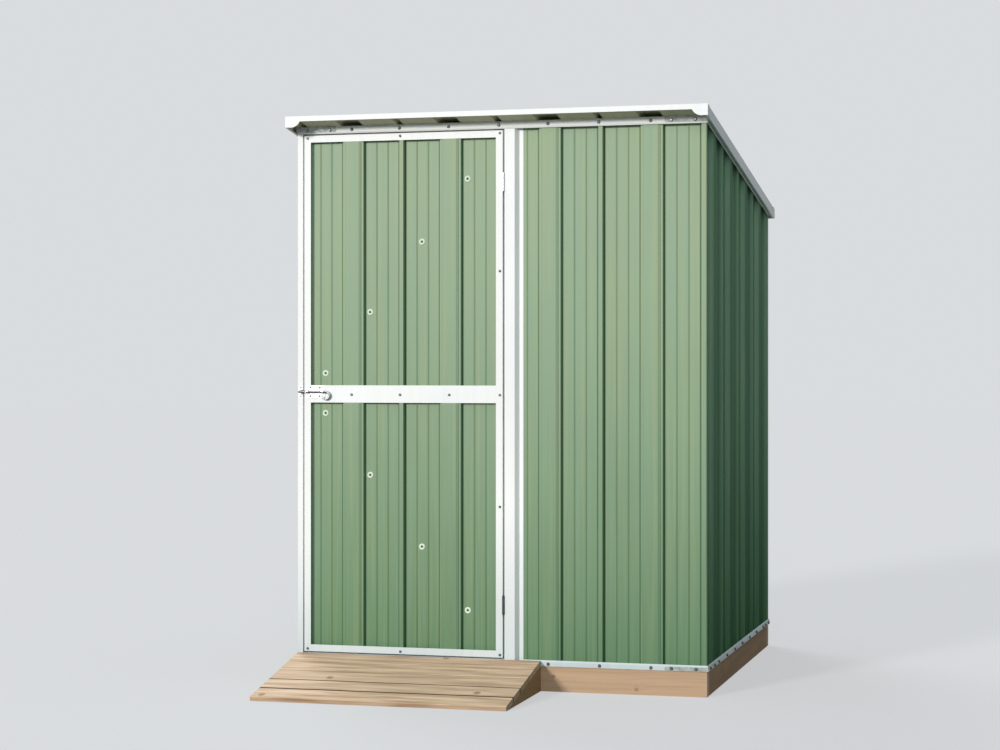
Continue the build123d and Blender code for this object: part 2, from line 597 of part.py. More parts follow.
def make_door():
    """Channel frame with a middle rail, two ribbed sheets and two inner braces."""
    level = Plane(origin=(0, 0, DOOR_BOTTOM), x_dir=(1, 0, 0), z_dir=(0, 0, 1))
    height = DOOR_TOP - DOOR_BOTTOM
    left = [(DOOR_LEFT + STILE_FACE, DOOR_BACK_Y), (DOOR_LEFT, DOOR_BACK_Y),
            (DOOR_LEFT, FRAME_FACE_Y), (DOOR_LEFT + STILE_FACE, FRAME_FACE_Y)]
    right = [(DOOR_RIGHT - STILE_FACE, FRAME_FACE_Y), (DOOR_RIGHT, FRAME_FACE_Y),
             (DOOR_RIGHT, DOOR_BACK_Y), (DOOR_RIGHT - STILE_FACE, DOOR_BACK_Y)]
    rail_left = DOOR_LEFT + STILE_FACE
    rail_right = DOOR_RIGHT - STILE_FACE
    rail_length = rail_right - rail_left
    side = Plane(origin=(rail_left, 0, 0), x_dir=(0, 1, 0), z_dir=(1, 0, 0))
    top = [(DOOR_BACK_Y, DOOR_TOP - TOP_RAIL), (DOOR_BACK_Y, DOOR_TOP),
           (FRAME_FACE_Y, DOOR_TOP), (FRAME_FACE_Y, DOOR_TOP - TOP_RAIL)]
    bottom = [(FRAME_FACE_Y, DOOR_BOTTOM + BOTTOM_RAIL), (FRAME_FACE_Y, DOOR_BOTTOM),
              (DOOR_BACK_Y, DOOR_BOTTOM), (DOOR_BACK_Y, DOOR_BOTTOM + BOTTOM_RAIL)]
    mid_low = MID_RAIL_HEIGHT - MID_RAIL / 2
    mid_high = MID_RAIL_HEIGHT + MID_RAIL / 2
    web_low = MID_RAIL_HEIGHT - STEEL / 2
    web_high = MID_RAIL_HEIGHT + STEEL / 2
    middle = block((rail_left, FRAME_FACE_Y, web_low), (rail_right, DOOR_BACK_Y, web_high))
    for face in (FRAME_FACE_Y, DOOR_BACK_Y - STEEL):
        middle += block((rail_left, face, mid_low), (rail_right, face + STEEL, mid_high))

    skin = ribbed_line(DOOR_LEFT + LAYER, DOOR_RIGHT - LAYER, FRONT_FIRST_RIB)

    def door_sheet(low, high):
        plane = Plane(origin=(0, FRAME_FACE_Y + LAYER, low), x_dir=(1, 0, 0), z_dir=(0, 0, 1))
        return folded(skin, plane, high - low)

    nodes = {
        "door_left_stile": folded(left, level, height),
        "door_right_stile": folded(right, level, height),
        "door_top_rail": folded(top, side, rail_length),
        "door_bottom_rail": folded(bottom, side, rail_length),
        "door_middle_rail": middle,
        "door_lower_sheet": door_sheet(DOOR_BOTTOM + STEEL, web_low - FIT),
        "door_upper_sheet": door_sheet(web_high, DOOR_TOP - LAYER),
    }

    def brace(start_z, stop_z):
        start_x = rail_left + BRACE_INSET
        along = Vector(rail_right + BRACE_INSET - start_x, 0, stop_z - start_z)
        plane = Plane(origin=(start_x, DOOR_BACK_Y, start_z), x_dir=(0, 1, 0),
                      z_dir=along.normalized())
        half = BRACE_WIDTH / 2
        channel = [(0, -half), (BRACE_DEPTH, -half), (BRACE_DEPTH, half), (0, half)]
        return folded(channel, plane, along.length)

    nodes["door_upper_brace"] = brace(MID_RAIL_HEIGHT + BRACE_RISE / 2,
                                      DOOR_TOP - TOP_RAIL - BRACE_RISE / 2)
    nodes["door_lower_brace"] = brace(MID_RAIL_HEIGHT - BRACE_RISE / 2,
                                      DOOR_BOTTOM + BOTTOM_RAIL + BRACE_RISE / 2)
    return nodes


def make_hinges():
    """Two butt hinges with their leaves in the gap: the frame's carry the pins."""
    knuckle = (HINGE_LENGTH - (KNUCKLES - 1) * KNUCKLE_GAP) / KNUCKLES
    leaf_start = HINGE_Y + HINGE_BARREL + FIT
    leaf_stop = leaf_start + HINGE_LEAF_WIDTH
    door_leaf = (DOOR_RIGHT, DOOR_RIGHT + HINGE_LEAF)
    frame_leaf = (RIGHT_JAMB_X - HINGE_LEAF, RIGHT_JAMB_X)
    door_parts = []
    frame_parts = []
    for height in HINGE_HEIGHTS:
        foot = height - HINGE_LENGTH / 2
        frame = Pos(HINGE_X, HINGE_Y, height) * Cylinder(HINGE_PIN, HINGE_LENGTH)
        frame += block((frame_leaf[0], leaf_start, foot),
                       (frame_leaf[1], leaf_stop, foot + HINGE_LENGTH))
        for index in range(KNUCKLES):
            low = foot + index * (knuckle + KNUCKLE_GAP)
            barrel = Pos(HINGE_X, HINGE_Y, low + knuckle / 2) * Cylinder(HINGE_BARREL, knuckle)
            if index % 2:
                tongue = block((door_leaf[0], HINGE_Y, low),
                               (door_leaf[1], leaf_start, low + knuckle))
                leaf = block((door_leaf[0], leaf_start, foot),
                             (door_leaf[1], leaf_stop, foot + HINGE_LENGTH))
                bore = Pos(HINGE_X, HINGE_Y, height) * Cylinder(HINGE_BORE, HINGE_LENGTH)
                door_parts.append(barrel + tongue + leaf - bore)
            else:
                frame += barrel
                frame += block((frame_leaf[0], HINGE_Y, low),
                               (frame_leaf[1], leaf_start, low + knuckle))
        frame_parts.append(frame)
    return {
        "hinge_door_leaves": Compound(children=door_parts),
        "hinge_frame_leaves": Compound(children=frame_parts),
    }


def make_pad_bolt():
    """A sliding bolt with two guides on the door, its keeper on the jamb, and its handle."""
    face = FRAME_FACE_Y
    half = BOLT_PLATE_HEIGHT / 2
    plate_left = DOOR_LEFT + BOLT_PLATE_INSET
    plate_right = plate_left + BOLT_PLATE_LENGTH
    plate = block((plate_left, face - BOLT_PLATE, BOLT_HEIGHT - half),
                  (plate_right, face, BOLT_HEIGHT + half))
    bore = BOLT_ROD + GUIDE_CLEARANCE
    shell = bore + GUIDE_WALL
    turned = Rot(0, 90, 0)
    for inset in GUIDE_INSETS:
        place = plate_left + inset
        plate += Pos(place, ROD_Y, BOLT_HEIGHT) * turned * Cylinder(shell, GUIDE_WIDTH)
        plate += block((place - GUIDE_WIDTH / 2, ROD_Y, BOLT_HEIGHT - shell),
                       (place + GUIDE_WIDTH / 2, face - BOLT_PLATE, BOLT_HEIGHT + shell))

    keeper_left = LEFT_JAMB_X + KEEPER_INSET
    keeper_right = keeper_left + KEEPER_WIDTH
    rod_left = keeper_left - GUIDE_WALL
    rod_right = plate_right + ROD_PAST_PLATE
    rod_length = rod_right - rod_left
    channel = Pos((rod_left + rod_right) / 2, ROD_Y, BOLT_HEIGHT) * turned
    plate -= channel * Cylinder(bore, rod_length)
    rod = channel * Cylinder(BOLT_ROD, rod_length)
    rod = chamfer(rod.edges().filter_by(GeomType.CIRCLE).sort_by(Axis.X)[0], BOLT_TIP)

    keeper_half = KEEPER_HEIGHT / 2
    mouth = BOLT_ROD + KEEPER_MOUTH
    keeper = block((keeper_left, face - BOLT_PLATE, BOLT_HEIGHT - keeper_half),
                   (keeper_right, face, BOLT_HEIGHT + keeper_half))
    for low in (BOLT_HEIGHT + mouth, BOLT_HEIGHT - mouth - KEEPER_LIP):
        keeper += block((keeper_left, face - BOLT_PLATE - KEEPER_LIP_LENGTH, low),
                        (keeper_right, face, low + KEEPER_LIP))

    start = Plane(origin=(rod_right, ROD_Y, BOLT_HEIGHT), x_dir=(0, 1, 0), z_dir=(1, 0, 0))
    pivot_z = BOLT_HEIGHT - HANDLE_RADIUS
    pivot = Axis((rod_right, ROD_Y, pivot_z), (0, 1, 0))
    handle = revolve(start * Circle(BOLT_ROD), axis=pivot, revolution_arc=HANDLE_SWEEP)
    swept = radians(HANDLE_SWEEP)
    turn_end = (rod_right + HANDLE_RADIUS * sin(swept), ROD_Y, pivot_z + HANDLE_RADIUS * cos(swept))
    onwards = Plane(origin=turn_end, x_dir=(0, 1, 0), z_dir=(cos(swept), 0, -sin(swept)))
    tail = extrude(onwards * Circle(BOLT_ROD), amount=HANDLE_TAIL)
    tail = chamfer(tail.edges().filter_by(GeomType.CIRCLE).sort_by(Axis.X)[0], BOLT_TIP)
    return {"bolt_plate": plate, "bolt_rod": rod, "bolt_keeper": keeper,
            "bolt_handle": handle + tail}


os.makedirs("parts", exist_ok=True)
for group in (make_timber_base(), make_ramp(), make_base_rails(), make_top_rails(),
              make_joiners(), make_walls(), make_jambs(), make_roof_sheets(), make_flashings(),
              make_door(), make_hinges(), make_pad_bolt()):
    for node, solid in group.items():
        export_step(solid, f"parts/{node}.step")
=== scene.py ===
"""Visual model of a ribbed steel tool shed on a timber base with a ramp.

The CAD nodes get their finishes here and keep their shapes, apart from the two that a piece
of this file stands for. The screws, their washers and the studio are modelled here too.
"""

import logging
import math
import random
from collections.abc import Iterable, Iterator
from dataclasses import dataclass
from enum import Enum

import bmesh
import bpy
from mathutils import Matrix, Vector


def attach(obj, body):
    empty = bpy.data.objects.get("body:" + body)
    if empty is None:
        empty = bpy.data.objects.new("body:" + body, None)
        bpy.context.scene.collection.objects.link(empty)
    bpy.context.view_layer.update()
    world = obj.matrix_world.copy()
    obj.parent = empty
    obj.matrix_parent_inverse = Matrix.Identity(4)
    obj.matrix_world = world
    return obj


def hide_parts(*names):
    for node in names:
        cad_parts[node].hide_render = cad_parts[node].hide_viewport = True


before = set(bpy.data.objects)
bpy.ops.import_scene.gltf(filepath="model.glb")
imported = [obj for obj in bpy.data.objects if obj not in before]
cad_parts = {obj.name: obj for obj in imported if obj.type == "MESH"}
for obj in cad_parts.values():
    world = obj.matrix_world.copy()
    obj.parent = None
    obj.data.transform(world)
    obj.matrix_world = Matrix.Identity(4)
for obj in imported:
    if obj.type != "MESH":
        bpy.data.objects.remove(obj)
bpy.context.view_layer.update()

Colour = tuple[float, float, float, float]
Point = tuple[float, float, float]
Span = tuple[float, float]
Tree = bpy.types.NodeTree
Node = bpy.types.Node
Shape = bmesh.types.BMesh
Piece = bpy.types.Object
Vertex = bmesh.types.BMVert
Edge = bmesh.types.BMEdge

MM = 0.001
log = logging.getLogger("shed")

# The sheets' repeat across, the middle of its narrow rib, where the pans lie from there,
# the inner edge of the wide rib's second ledge, and the roof's slope
SHEET_REPEAT = 370 * MM
NARROW_MIDDLE = 229 * MM
PAN_MIDDLE = 76.75 * MM
PAN_HALF = 64.25 * MM
LEDGE = 69 * MM
ROOF_PITCH = math.atan2(224.5, 1520.0)

# The inputs of a Mix node that take the lower colour and the one laid over it
BASE = 6
OVER = 7

# A noise texture's middle, and the values that it seldom passes
NOISE_LOW = 0.3
NOISE_MIDDLE = 0.5
NOISE_HIGH = 0.7


class Facing(Enum):
    """The way that a wall, or the head of a fixing, looks."""

    FRONT = (0.0, -1.0, 0.0)
    REAR = (0.0, 1.0, 0.0)
    LEFT = (-1.0, 0.0, 0.0)
    RIGHT = (1.0, 0.0, 0.0)
    UP = (0.0, 0.0, 1.0)


# Where a wide rib starts on each side, along X or Y
SHEET_RIBS = {Facing.FRONT: -591.5 * MM, Facing.UP: -591.5 * MM, Facing.REAR: 503.5 * MM,
              Facing.LEFT: -640 * MM, Facing.RIGHT: -640 * MM}


class Body(Enum):
    """The moving bodies that pieces ride on."""

    SHED = "shed"
    DOOR = "door"
    GRIP = "bolt_grip"


class Slot(Enum):
    """The record's material slots, which new pieces name but nothing here reads."""

    WHITE = "white_trim"
    ZINC = "zinc_hardware"


def linear(code: str) -> Colour:
    """Turn an sRGB colour into the linear colour that shaders take.

    Args:
        code: Six hex digits, such as "F2F3EE".

    Returns:
        The linear red, green, blue and an alpha of one.
    """
    channels = [int(code[index:index + 2], 16) / 255 for index in (0, 2, 4)]
    red, green, blue = (c / 12.92 if c <= 0.04045 else ((c + 0.055) / 1.055) ** 2.4
                        for c in channels)
    return red, green, blue, 1.0


def add(tree: Tree, kind: str, inputs: dict | None = None, **settings: object) -> Node:
    """Add a shader node with its settings, values and links.

    Args:
        tree: The node tree that gets the node.
        kind: The node's type without its "ShaderNode" prefix.
        inputs: Socket name or number, to a value, to the output that feeds it, or to a node
            whose first output in use feeds it.
        settings: Properties of the node itself.

    Returns:
        The new node.
    """
    node = tree.nodes.new(f"ShaderNode{kind}")
    for name, value in settings.items():
        setattr(node, name, value)
    for socket, value in (inputs or {}).items():
        if isinstance(value, Node):
            value = next(output for output in value.outputs if output.enabled)
        if isinstance(value, bpy.types.NodeSocket):
            tree.links.new(value, node.inputs[socket])
        else:
            node.inputs[socket].default_value = value
    return node


@dataclass(frozen=True)
class Finish:
    """A surface finish that is made into one procedural material."""

    name: str

    def material(self) -> bpy.types.Material:
        """Return the finish's material, which is made on its first use."""
        made = bpy.data.materials.get(self.name)
        if made is None:
            made = bpy.data.materials.new(self.name)
            made.use_nodes = True
            made.node_tree.nodes.clear()
            add(made.node_tree, "OutputMaterial", {"Surface": self.shade(made.node_tree)})
        return made

    def shade(self, tree: Tree) -> Node:
        """Build the finish's nodes and return its shader."""
        raise NotImplementedError


@dataclass(frozen=True)
class Enamel(Finish):
    """Baked polyester enamel, roll coated on galvanised steel before it is folded.

    It is satin and even. It is painted paler high up and darker low down, as painted light
    and shade. Long faint streaks run down it, partly the coil coat's own and partly painted
    reflections, and thin steel leaves it slightly wavy.
    """

    # The shaded low colour and the lit high colour of a painted light and shade gradient by height
    shaded_low: str = "517851"
    lit_high: str = "9BB090"
    warm: str = "A9B286"
    cool: str = "8AAA96"
    # The colour of the painted shade in the sheet's creases
    crease_shade: str = "365C3E"
    back: str = "D0C8AE"
    low_height: float = 0.0
    high_height: float = 2.0
    fall: float = 1.7
    roughness: float = 0.52
    shine: float = 0.3
    streak_width: float = 17 * MM
    streak_share: float = 0.4
    streak_squash: float = 0.02
    patches: float = 2.2
    wear: Span = (0.95, 1.04)
    gloss_off: Span = (-0.05, 0.06)
    wave: float = 0.35 * MM
    waves: Point = (7.0, 7.0, 1.6)
    peel: float = 1.5 * MM
    peel_depth: float = 0.01 * MM
    crease_shade_share: float = 1.0
    facing: Facing | None = None
    folds_round: bool = False
    corner: float = 744 * MM
    fold_weight: float = 6.0
    outer_from: float = -0.02

    def shade(self, tree: Tree) -> Node:
        """Grade the paint by height as painted light and shade, streak it, and wave it a little.
        """
        place = add(tree, "TexCoord")
        spot = place.outputs["Object"]
        axes = add(tree, "SeparateXYZ", {0: spot})
        # Painted light and shade: the paint is paler high up and darker low down
        depth = add(tree, "MapRange", {
            "Value": axes.outputs["Z"], "From Min": self.high_height,
            "From Max": self.low_height})
        shade_by_height = add(tree, "Math", {0: depth, 1: self.fall}, operation="POWER")
        colour = add(tree, "Mix", {
            0: shade_by_height, BASE: linear(self.lit_high), OVER: linear(self.shaded_low)}, data_type="RGBA")
        # Streaks down the sheet: partly the coil coat's own, partly painted reflections; fainter
        # low down
        faded = add(tree, "MapRange", {
            "Value": depth, "To Min": self.streak_share, "To Max": self.streak_share / 4})
        squash = self.streak_squash
        along = (1.0, squash, 0.0) if self.facing is Facing.UP else (1.0, 1.0, squash)
        drawn = add(tree, "Mapping", {"Vector": spot, "Scale": along})
        fine = add(tree, "TexNoise", {
            "Vector": drawn, "Scale": 1 / self.streak_width, "Detail": 1.5, "Roughness": 0.6})
        broad = add(tree, "TexNoise", {"Vector": spot, "Scale": self.patches, "Detail": 3.0})
        for tint, full in ((self.warm, 0.68), (self.cool, 0.32)):
            share = add(tree, "MapRange", {
                "Value": fine, "From Min": NOISE_MIDDLE, "From Max": full, "To Max": faded})
            colour = add(tree, "Mix", {
                0: share, BASE: colour, OVER: linear(tint)}, data_type="RGBA")
        worn = add(tree, "MapRange", {
            "Value": broad, "From Min": NOISE_LOW, "From Max": NOISE_HIGH,
            "To Min": self.wear[0], "To Max": self.wear[1]})
        colour = add(tree, "Mix", {0: 1.0, BASE: colour, OVER: worn}, data_type="RGBA",
                     blend_type="MULTIPLY")
        if self.facing is not None:
            colour = self.with_crease_shade(tree, axes, colour)
            colour = self.with_back_coat(tree, place, axes, colour)
        gloss = add(tree, "MapRange", {
            "Value": broad, "From Min": NOISE_LOW, "From Max": NOISE_HIGH,
            "To Min": self.roughness + self.gloss_off[0],
            "To Max": self.roughness + self.gloss_off[1]})
        slow = add(tree, "Mapping", {"Vector": spot, "Scale": self.waves})
        waviness = add(tree, "TexNoise", {"Vector": slow, "Scale": 1.0, "Detail": 1.0})
        waved = add(tree, "Bump", {"Height": waviness, "Distance": self.wave, "Strength": 1.0})
        peel = add(tree, "TexNoise", {"Vector": spot, "Scale": 1 / self.peel, "Detail": 1.0})
        skin = add(tree, "Bump", {
            "Height": peel, "Distance": self.peel_depth, "Strength": 0.6, "Normal": waved})
        return add(tree, "BsdfPrincipled", {
            "Base Color": colour, "Roughness": gloss, "Specular IOR Level": self.shine,
            "Normal": skin, "IOR": 1.5})

    def with_crease_shade(self, tree: Tree, axes: Node, colour: Node) -> Node:
        """Paint shade along the foot of each rib, beside each swage and at the wide rib's ledge.

        Args:
            tree: The material's node tree.
            axes: The object coordinates, one by one.
            colour: The paint's colour before the painted shade.

        Returns:
            The colour with the painted shade on it.
        """
        across = "Y" if self.facing in (Facing.LEFT, Facing.RIGHT) else "X"
        moved = add(tree, "Math", {0: axes.outputs[across], 1: SHEET_RIBS[self.facing]},
                    operation="SUBTRACT")
        place = add(tree, "Math", {0: moved, 1: SHEET_REPEAT, 2: 0.0}, operation="WRAP")
        reach = place
        for middle in (NARROW_MIDDLE, PAN_MIDDLE):
            off = add(tree, "Math", {0: reach, 1: middle}, operation="SUBTRACT")
            reach = add(tree, "Math", {0: off}, operation="ABSOLUTE")
        # Painted shade: dark lines at the foot of each rib, beside each swage and at the ledge
        for coordinate, middle, width, share in (
                (reach, PAN_HALF, 6 * MM, 0.95), (reach, PAN_HALF / 3, 4.5 * MM, 0.30),
                (place, LEDGE, 5.5 * MM, 0.45)):
            off = add(tree, "Math", {0: coordinate, 1: middle}, operation="SUBTRACT")
            distance = add(tree, "Math", {0: off}, operation="ABSOLUTE")
            crease_shade = add(tree, "MapRange", {
                "Value": distance, "From Max": width, "To Min": share * self.crease_shade_share,
                "To Max": 0.0}, interpolation_type="SMOOTHSTEP")
            colour = add(tree, "Mix", {
                0: crease_shade, BASE: colour, OVER: linear(self.crease_shade)}, data_type="RGBA")
        return colour

    def with_back_coat(self, tree: Tree, place: Node, axes: Node, paint: Node) -> Node:
        """Keep the colour coat to the outer face, and give the inner one its pale coat.

        Args:
            tree: The material's node tree.
            place: The texture coordinates.
            axes: The object coordinates, one by one.
            paint: The colour of the outer face.

        Returns:
            The colour for both faces.
        """
        side = add(tree, "VectorMath", {0: place.outputs["Normal"], 1: self.facing.value},
                   operation="DOT_PRODUCT")
        if self.folds_round:
            normal = add(tree, "SeparateXYZ", {0: place.outputs["Normal"]})
            away = add(tree, "Math", {0: axes.outputs["X"]}, operation="ABSOLUTE")
            corner = add(tree, "Math", {0: away, 1: self.corner}, operation="GREATER_THAN")
            sign = add(tree, "Math", {0: axes.outputs["X"]}, operation="SIGN")
            fold = add(tree, "Math", {0: normal.outputs["X"], 1: sign}, operation="MULTIPLY")
            weight = add(tree, "Math", {0: fold, 1: corner}, operation="MULTIPLY")
            side = add(tree, "Math", {0: weight, 1: self.fold_weight, 2: side},
                       operation="MULTIPLY_ADD")
        outer = add(tree, "Math", {0: side, 1: self.outer_from}, operation="GREATER_THAN")
        return add(tree, "Mix", {0: outer, BASE: linear(self.back), OVER: paint},
                   data_type="RGBA")


@dataclass(frozen=True)
class ZincPlate(Finish):
    """Zinc on steel: bright where it is plated, spangled and dull where hot dipped."""

    bright: str = "D4D6D8"
    dull: str = "B4B8BB"
    roughness: float = 0.32
    grain: float = 6 * MM
    haze: float = 90.0
    gloss_off: Span = (-0.07, 0.12)
    pit: float = 0.03 * MM
    # Painted dark reflection towards the ground
    dark_reflection: str = "B4B8BB"
    dark_reflection_height: float = 0.0
    # Painted shade on faces that turn down
    underside_shade_colour: str = "2E302C"
    underside_shade: float = 0.0
    underside_shade_from: float = -0.05
    underside_shade_span: float = 0.4

    def shade(self, tree: Tree) -> Node:
        """Mottle the metal by crystal, dull it in patches, and paint dark reflection and shade."""
        place = add(tree, "TexCoord")
        spot = place.outputs["Object"]
        crystal = add(tree, "TexVoronoi", {"Vector": spot, "Scale": 1 / self.grain})
        tone = add(tree, "SeparateColor", {0: crystal.outputs["Color"]})
        colour = add(tree, "Mix", {
            0: tone, BASE: linear(self.dull), OVER: linear(self.bright)}, data_type="RGBA")
        # Painted dark reflection: the metal darkens towards the ground
        if self.dark_reflection_height:
            axes = add(tree, "SeparateXYZ", {0: spot})
            reflects_dark = add(tree, "MapRange", {
                "Value": axes.outputs["Z"], "From Min": self.dark_reflection_height,
                "From Max": self.dark_reflection_height / 2}, interpolation_type="SMOOTHSTEP")
            colour = add(tree, "Mix", {
                0: reflects_dark, BASE: colour, OVER: linear(self.dark_reflection)}, data_type="RGBA")
        # Painted shade: faces that turn down are darkened
        if self.underside_shade:
            normal = add(tree, "SeparateXYZ", {0: place.outputs["Normal"]})
            under = add(tree, "MapRange", {
                "Value": normal.outputs["Z"], "From Min": self.underside_shade_from,
                "From Max": self.underside_shade_from - self.underside_shade_span, "To Max": self.underside_shade})
            colour = add(tree, "Mix", {
                0: under, BASE: colour, OVER: linear(self.underside_shade_colour)}, data_type="RGBA")
        haze = add(tree, "TexNoise", {"Vector": spot, "Scale": self.haze, "Detail": 3.0})
        gloss = add(tree, "MapRange", {
            "Value": haze, "From Min": NOISE_LOW, "From Max": NOISE_HIGH,
            "To Min": self.roughness + self.gloss_off[0],
            "To Max": self.roughness + self.gloss_off[1]})
        pitted = add(tree, "Bump", {"Height": haze, "Distance": self.pit, "Strength": 0.5})
        return add(tree, "BsdfPrincipled", {
            "Base Color": colour, "Metallic": 1.0, "Roughness": gloss, "Normal": pitted})


@dataclass(frozen=True)
class Moulded(Finish):
    """A small moulded part in two tones that come and go in fine clouds."""

    tone: str
    cloud: str
    clouds: float
    roughness: float
    refraction: float
    cloud_from: float = 0.0
    cloud_to: float = 1.0

    def shade(self, tree: Tree) -> Node:
        """Cloud the one tone with the other."""
        place = add(tree, "TexCoord")
        noise = add(tree, "TexNoise", {
            "Vector": place.outputs["Object"], "Scale": self.clouds, "Detail": 2.0})
        share = add(tree, "MapRange", {
            "Value": noise, "From Min": self.cloud_from, "From Max": self.cloud_to})
        colour = add(tree, "Mix", {
            0: share, BASE: linear(self.tone), OVER: linear(self.cloud)}, data_type="RGBA")
        return add(tree, "BsdfPrincipled", {
            "Base Color": colour, "Roughness": self.roughness, "IOR": self.refraction})


@dataclass(frozen=True)
class Pine(Finish):
    """Planed softwood, oiled once and left out: warm tan, soft grain, a few brown knots.

    The boards run along the turned X axis and lie side by side along the turned Y.
    """

    turn: Point = (0.0, 0.0, 0.0)
    shift: Point = (0.0, 0.0, 0.0)
    board: float = 98 * MM
    pale: str = "CBA683"
    dark: str = "A6805D"
    grey: str = "BEA68B"
    knot: str = "946A4E"
    sawn_and_shaded: str = "5E4428"
    joint_and_gap_shade: str = "3E2B1C"
    ring: float = 9 * MM
    ring_share: float = 0.16
    band_share: float = 0.42
    band: Point = (900 * MM, 38 * MM, 38 * MM)
    late_wood: Span = (-0.3, 1.0)
    band_edge: Span = (0.36, 0.66)
    fibres: Point = (4.0, 210.0, 210.0)
    fibre_edge: Span = (0.25, 0.75)
    fibre_tone: Span = (0.86, 1.07)
    gloss: Span = (0.56, 0.78)
    knot_spacing: float = 0.24
    knot_size: float = 10 * MM
    bend: float = 24 * MM
    bend_reach: float = 34 * MM
    heart_off: Span = (-40 * MM, 140 * MM)
    heart_under: Span = (15 * MM, 60 * MM)
    drift: float = 60 * MM
    relief: float = 0.25 * MM
    joint: float = 0.0
    tight_joints: float = 0.0
    last_joint: float = 100.0
    joint_depth: float = -4.0
    end_and_shade_share: float = 0.0
    shine: float = 0.5

    def shade(self, tree: Tree) -> Node:
        """Cut rings through each board's own log, with knots and fine fibres."""
        place = add(tree, "TexCoord")
        turned = add(tree, "Mapping", {
            "Vector": place.outputs["Object"], "Rotation": self.turn, "Location": self.shift})
        axes = add(tree, "SeparateXYZ", {0: turned})
        counted = add(tree, "Math", {0: axes.outputs["Y"], 1: self.board}, operation="DIVIDE")
        index = add(tree, "Math", {0: counted}, operation="FLOOR")
        lot = add(tree, "TexWhiteNoise", {"W": index}, noise_dimensions="1D")
        chance = add(tree, "SeparateColor", {0: lot.outputs["Color"]})

        knots = self.knots(tree, axes)
        radius = self.log_radius(tree, axes, index, chance)
        flow = add(tree, "MapRange", {
            "Value": knots, "From Max": self.bend_reach, "To Min": self.bend, "To Max": 0.0},
            interpolation_type="SMOOTHSTEP")
        bent = add(tree, "Math", {0: radius, 1: flow}, operation="ADD")
        turns = add(tree, "Math", {0: bent, 1: 2 * math.pi / self.ring}, operation="MULTIPLY")
        wave = add(tree, "Math", {0: turns}, operation="SINE")
        late = add(tree, "MapRange", {
            "Value": wave, "From Min": self.late_wood[0], "From Max": self.late_wood[1]},
            interpolation_type="SMOOTHSTEP")

        drawn = add(tree, "Mapping", {"Vector": turned, "Scale": self.fibres})
        fibre = add(tree, "TexNoise", {
            "Vector": drawn, "Scale": 1.0, "Detail": 4.0, "Roughness": 0.62})
        spread = add(tree, "Mapping", {
            "Vector": turned, "Scale": tuple(1 / size for size in self.band)})
        bands = add(tree, "TexNoise", {"Vector": spread, "Scale": 1.0, "Detail": 3.0})
        banded = add(tree, "MapRange", {
            "Value": bands, "From Min": self.band_edge[0], "From Max": self.band_edge[1]})
        grain = add(tree, "Math", {0: late, 1: self.ring_share}, operation="MULTIPLY")
        depth = add(tree, "Math", {0: banded, 1: self.band_share, 2: grain},
                    operation="MULTIPLY_ADD")
        lots = add(tree, "MapRange", {"Value": chance.outputs[1], "To Max": 0.5})
        colour = add(tree, "Mix", {
            0: depth, BASE: linear(self.pale), OVER: linear(self.dark)}, data_type="RGBA")
        colour = add(tree, "Mix", {0: lots, BASE: colour, OVER: linear(self.grey)},
                     data_type="RGBA")
        fine = add(tree, "MapRange", {
            "Value": fibre, "From Min": self.fibre_edge[0], "From Max": self.fibre_edge[1],
            "To Min": self.fibre_tone[0], "To Max": self.fibre_tone[1]})
        colour = add(tree, "Mix", {0: 1.0, BASE: colour, OVER: fine}, data_type="RGBA",
                     blend_type="MULTIPLY")
        heart = add(tree, "MapRange", {
            "Value": knots, "From Min": 0.4 * self.knot_size, "From Max": self.knot_size,
            "To Min": 0.7, "To Max": 0.0}, interpolation_type="SMOOTHSTEP")
        colour = add(tree, "Mix", {0: heart, BASE: colour, OVER: linear(self.knot)},
                     data_type="RGBA")
        # Darker end grain, and painted shade: faces that do not face up are darkened
        if self.end_and_shade_share:
            colour = self.with_sawn_ends_and_shade(tree, place, colour)
        height = add(tree, "Math", {0: late, 1: 0.5, 2: fibre}, operation="MULTIPLY_ADD")
        if self.joint:
            colour, height = self.joints(tree, counted, colour, height)
        bump = add(tree, "Bump", {"Height": height, "Distance": self.relief, "Strength": 0.7})
        gloss = add(tree, "MapRange", {
            "Value": fibre, "To Min": self.gloss[0], "To Max": self.gloss[1]})
        return add(tree, "BsdfPrincipled", {
            "Base Color": colour, "Roughness": gloss, "Specular IOR Level": self.shine,
            "Normal": bump, "IOR": 1.45})

    def with_sawn_ends_and_shade(self, tree: Tree, place: Node, wood: Node) -> Node:
        """Darken the sawn ends, which drink more oil and dirt, and paint shade on edges and toe.

        Args:
            tree: The material's node tree.
            place: The texture coordinates.
            wood: The colour of the tops.

        Returns:
            The colour for the tops and the ends.
        """
        normal = add(tree, "SeparateXYZ", {0: place.outputs["Normal"]})
        sideways = add(tree, "MapRange", {
            "Value": normal.outputs["Z"], "From Min": 0.7, "From Max": 0.3,
            "To Max": self.end_and_shade_share})
        return add(tree, "Mix", {0: sideways, BASE: wood, OVER: linear(self.sawn_and_shaded)},
                   data_type="RGBA")

    def knots(self, tree: Tree, axes: Node) -> Node:
        """Return the distance, in metres, from the nearest knot through the boards.

        Args:
            tree: The material's node tree.
            axes: The turned coordinates, one by one.

        Returns:
            The node that gives the distance.
        """
        face = add(tree, "CombineXYZ", {0: axes.outputs["X"], 1: axes.outputs["Y"]})
        cell = add(tree, "TexVoronoi", {"Vector": face, "Scale": 1 / self.knot_spacing},
                   voronoi_dimensions="2D")
        return add(tree, "Math", {0: cell, 1: self.knot_spacing}, operation="MULTIPLY")

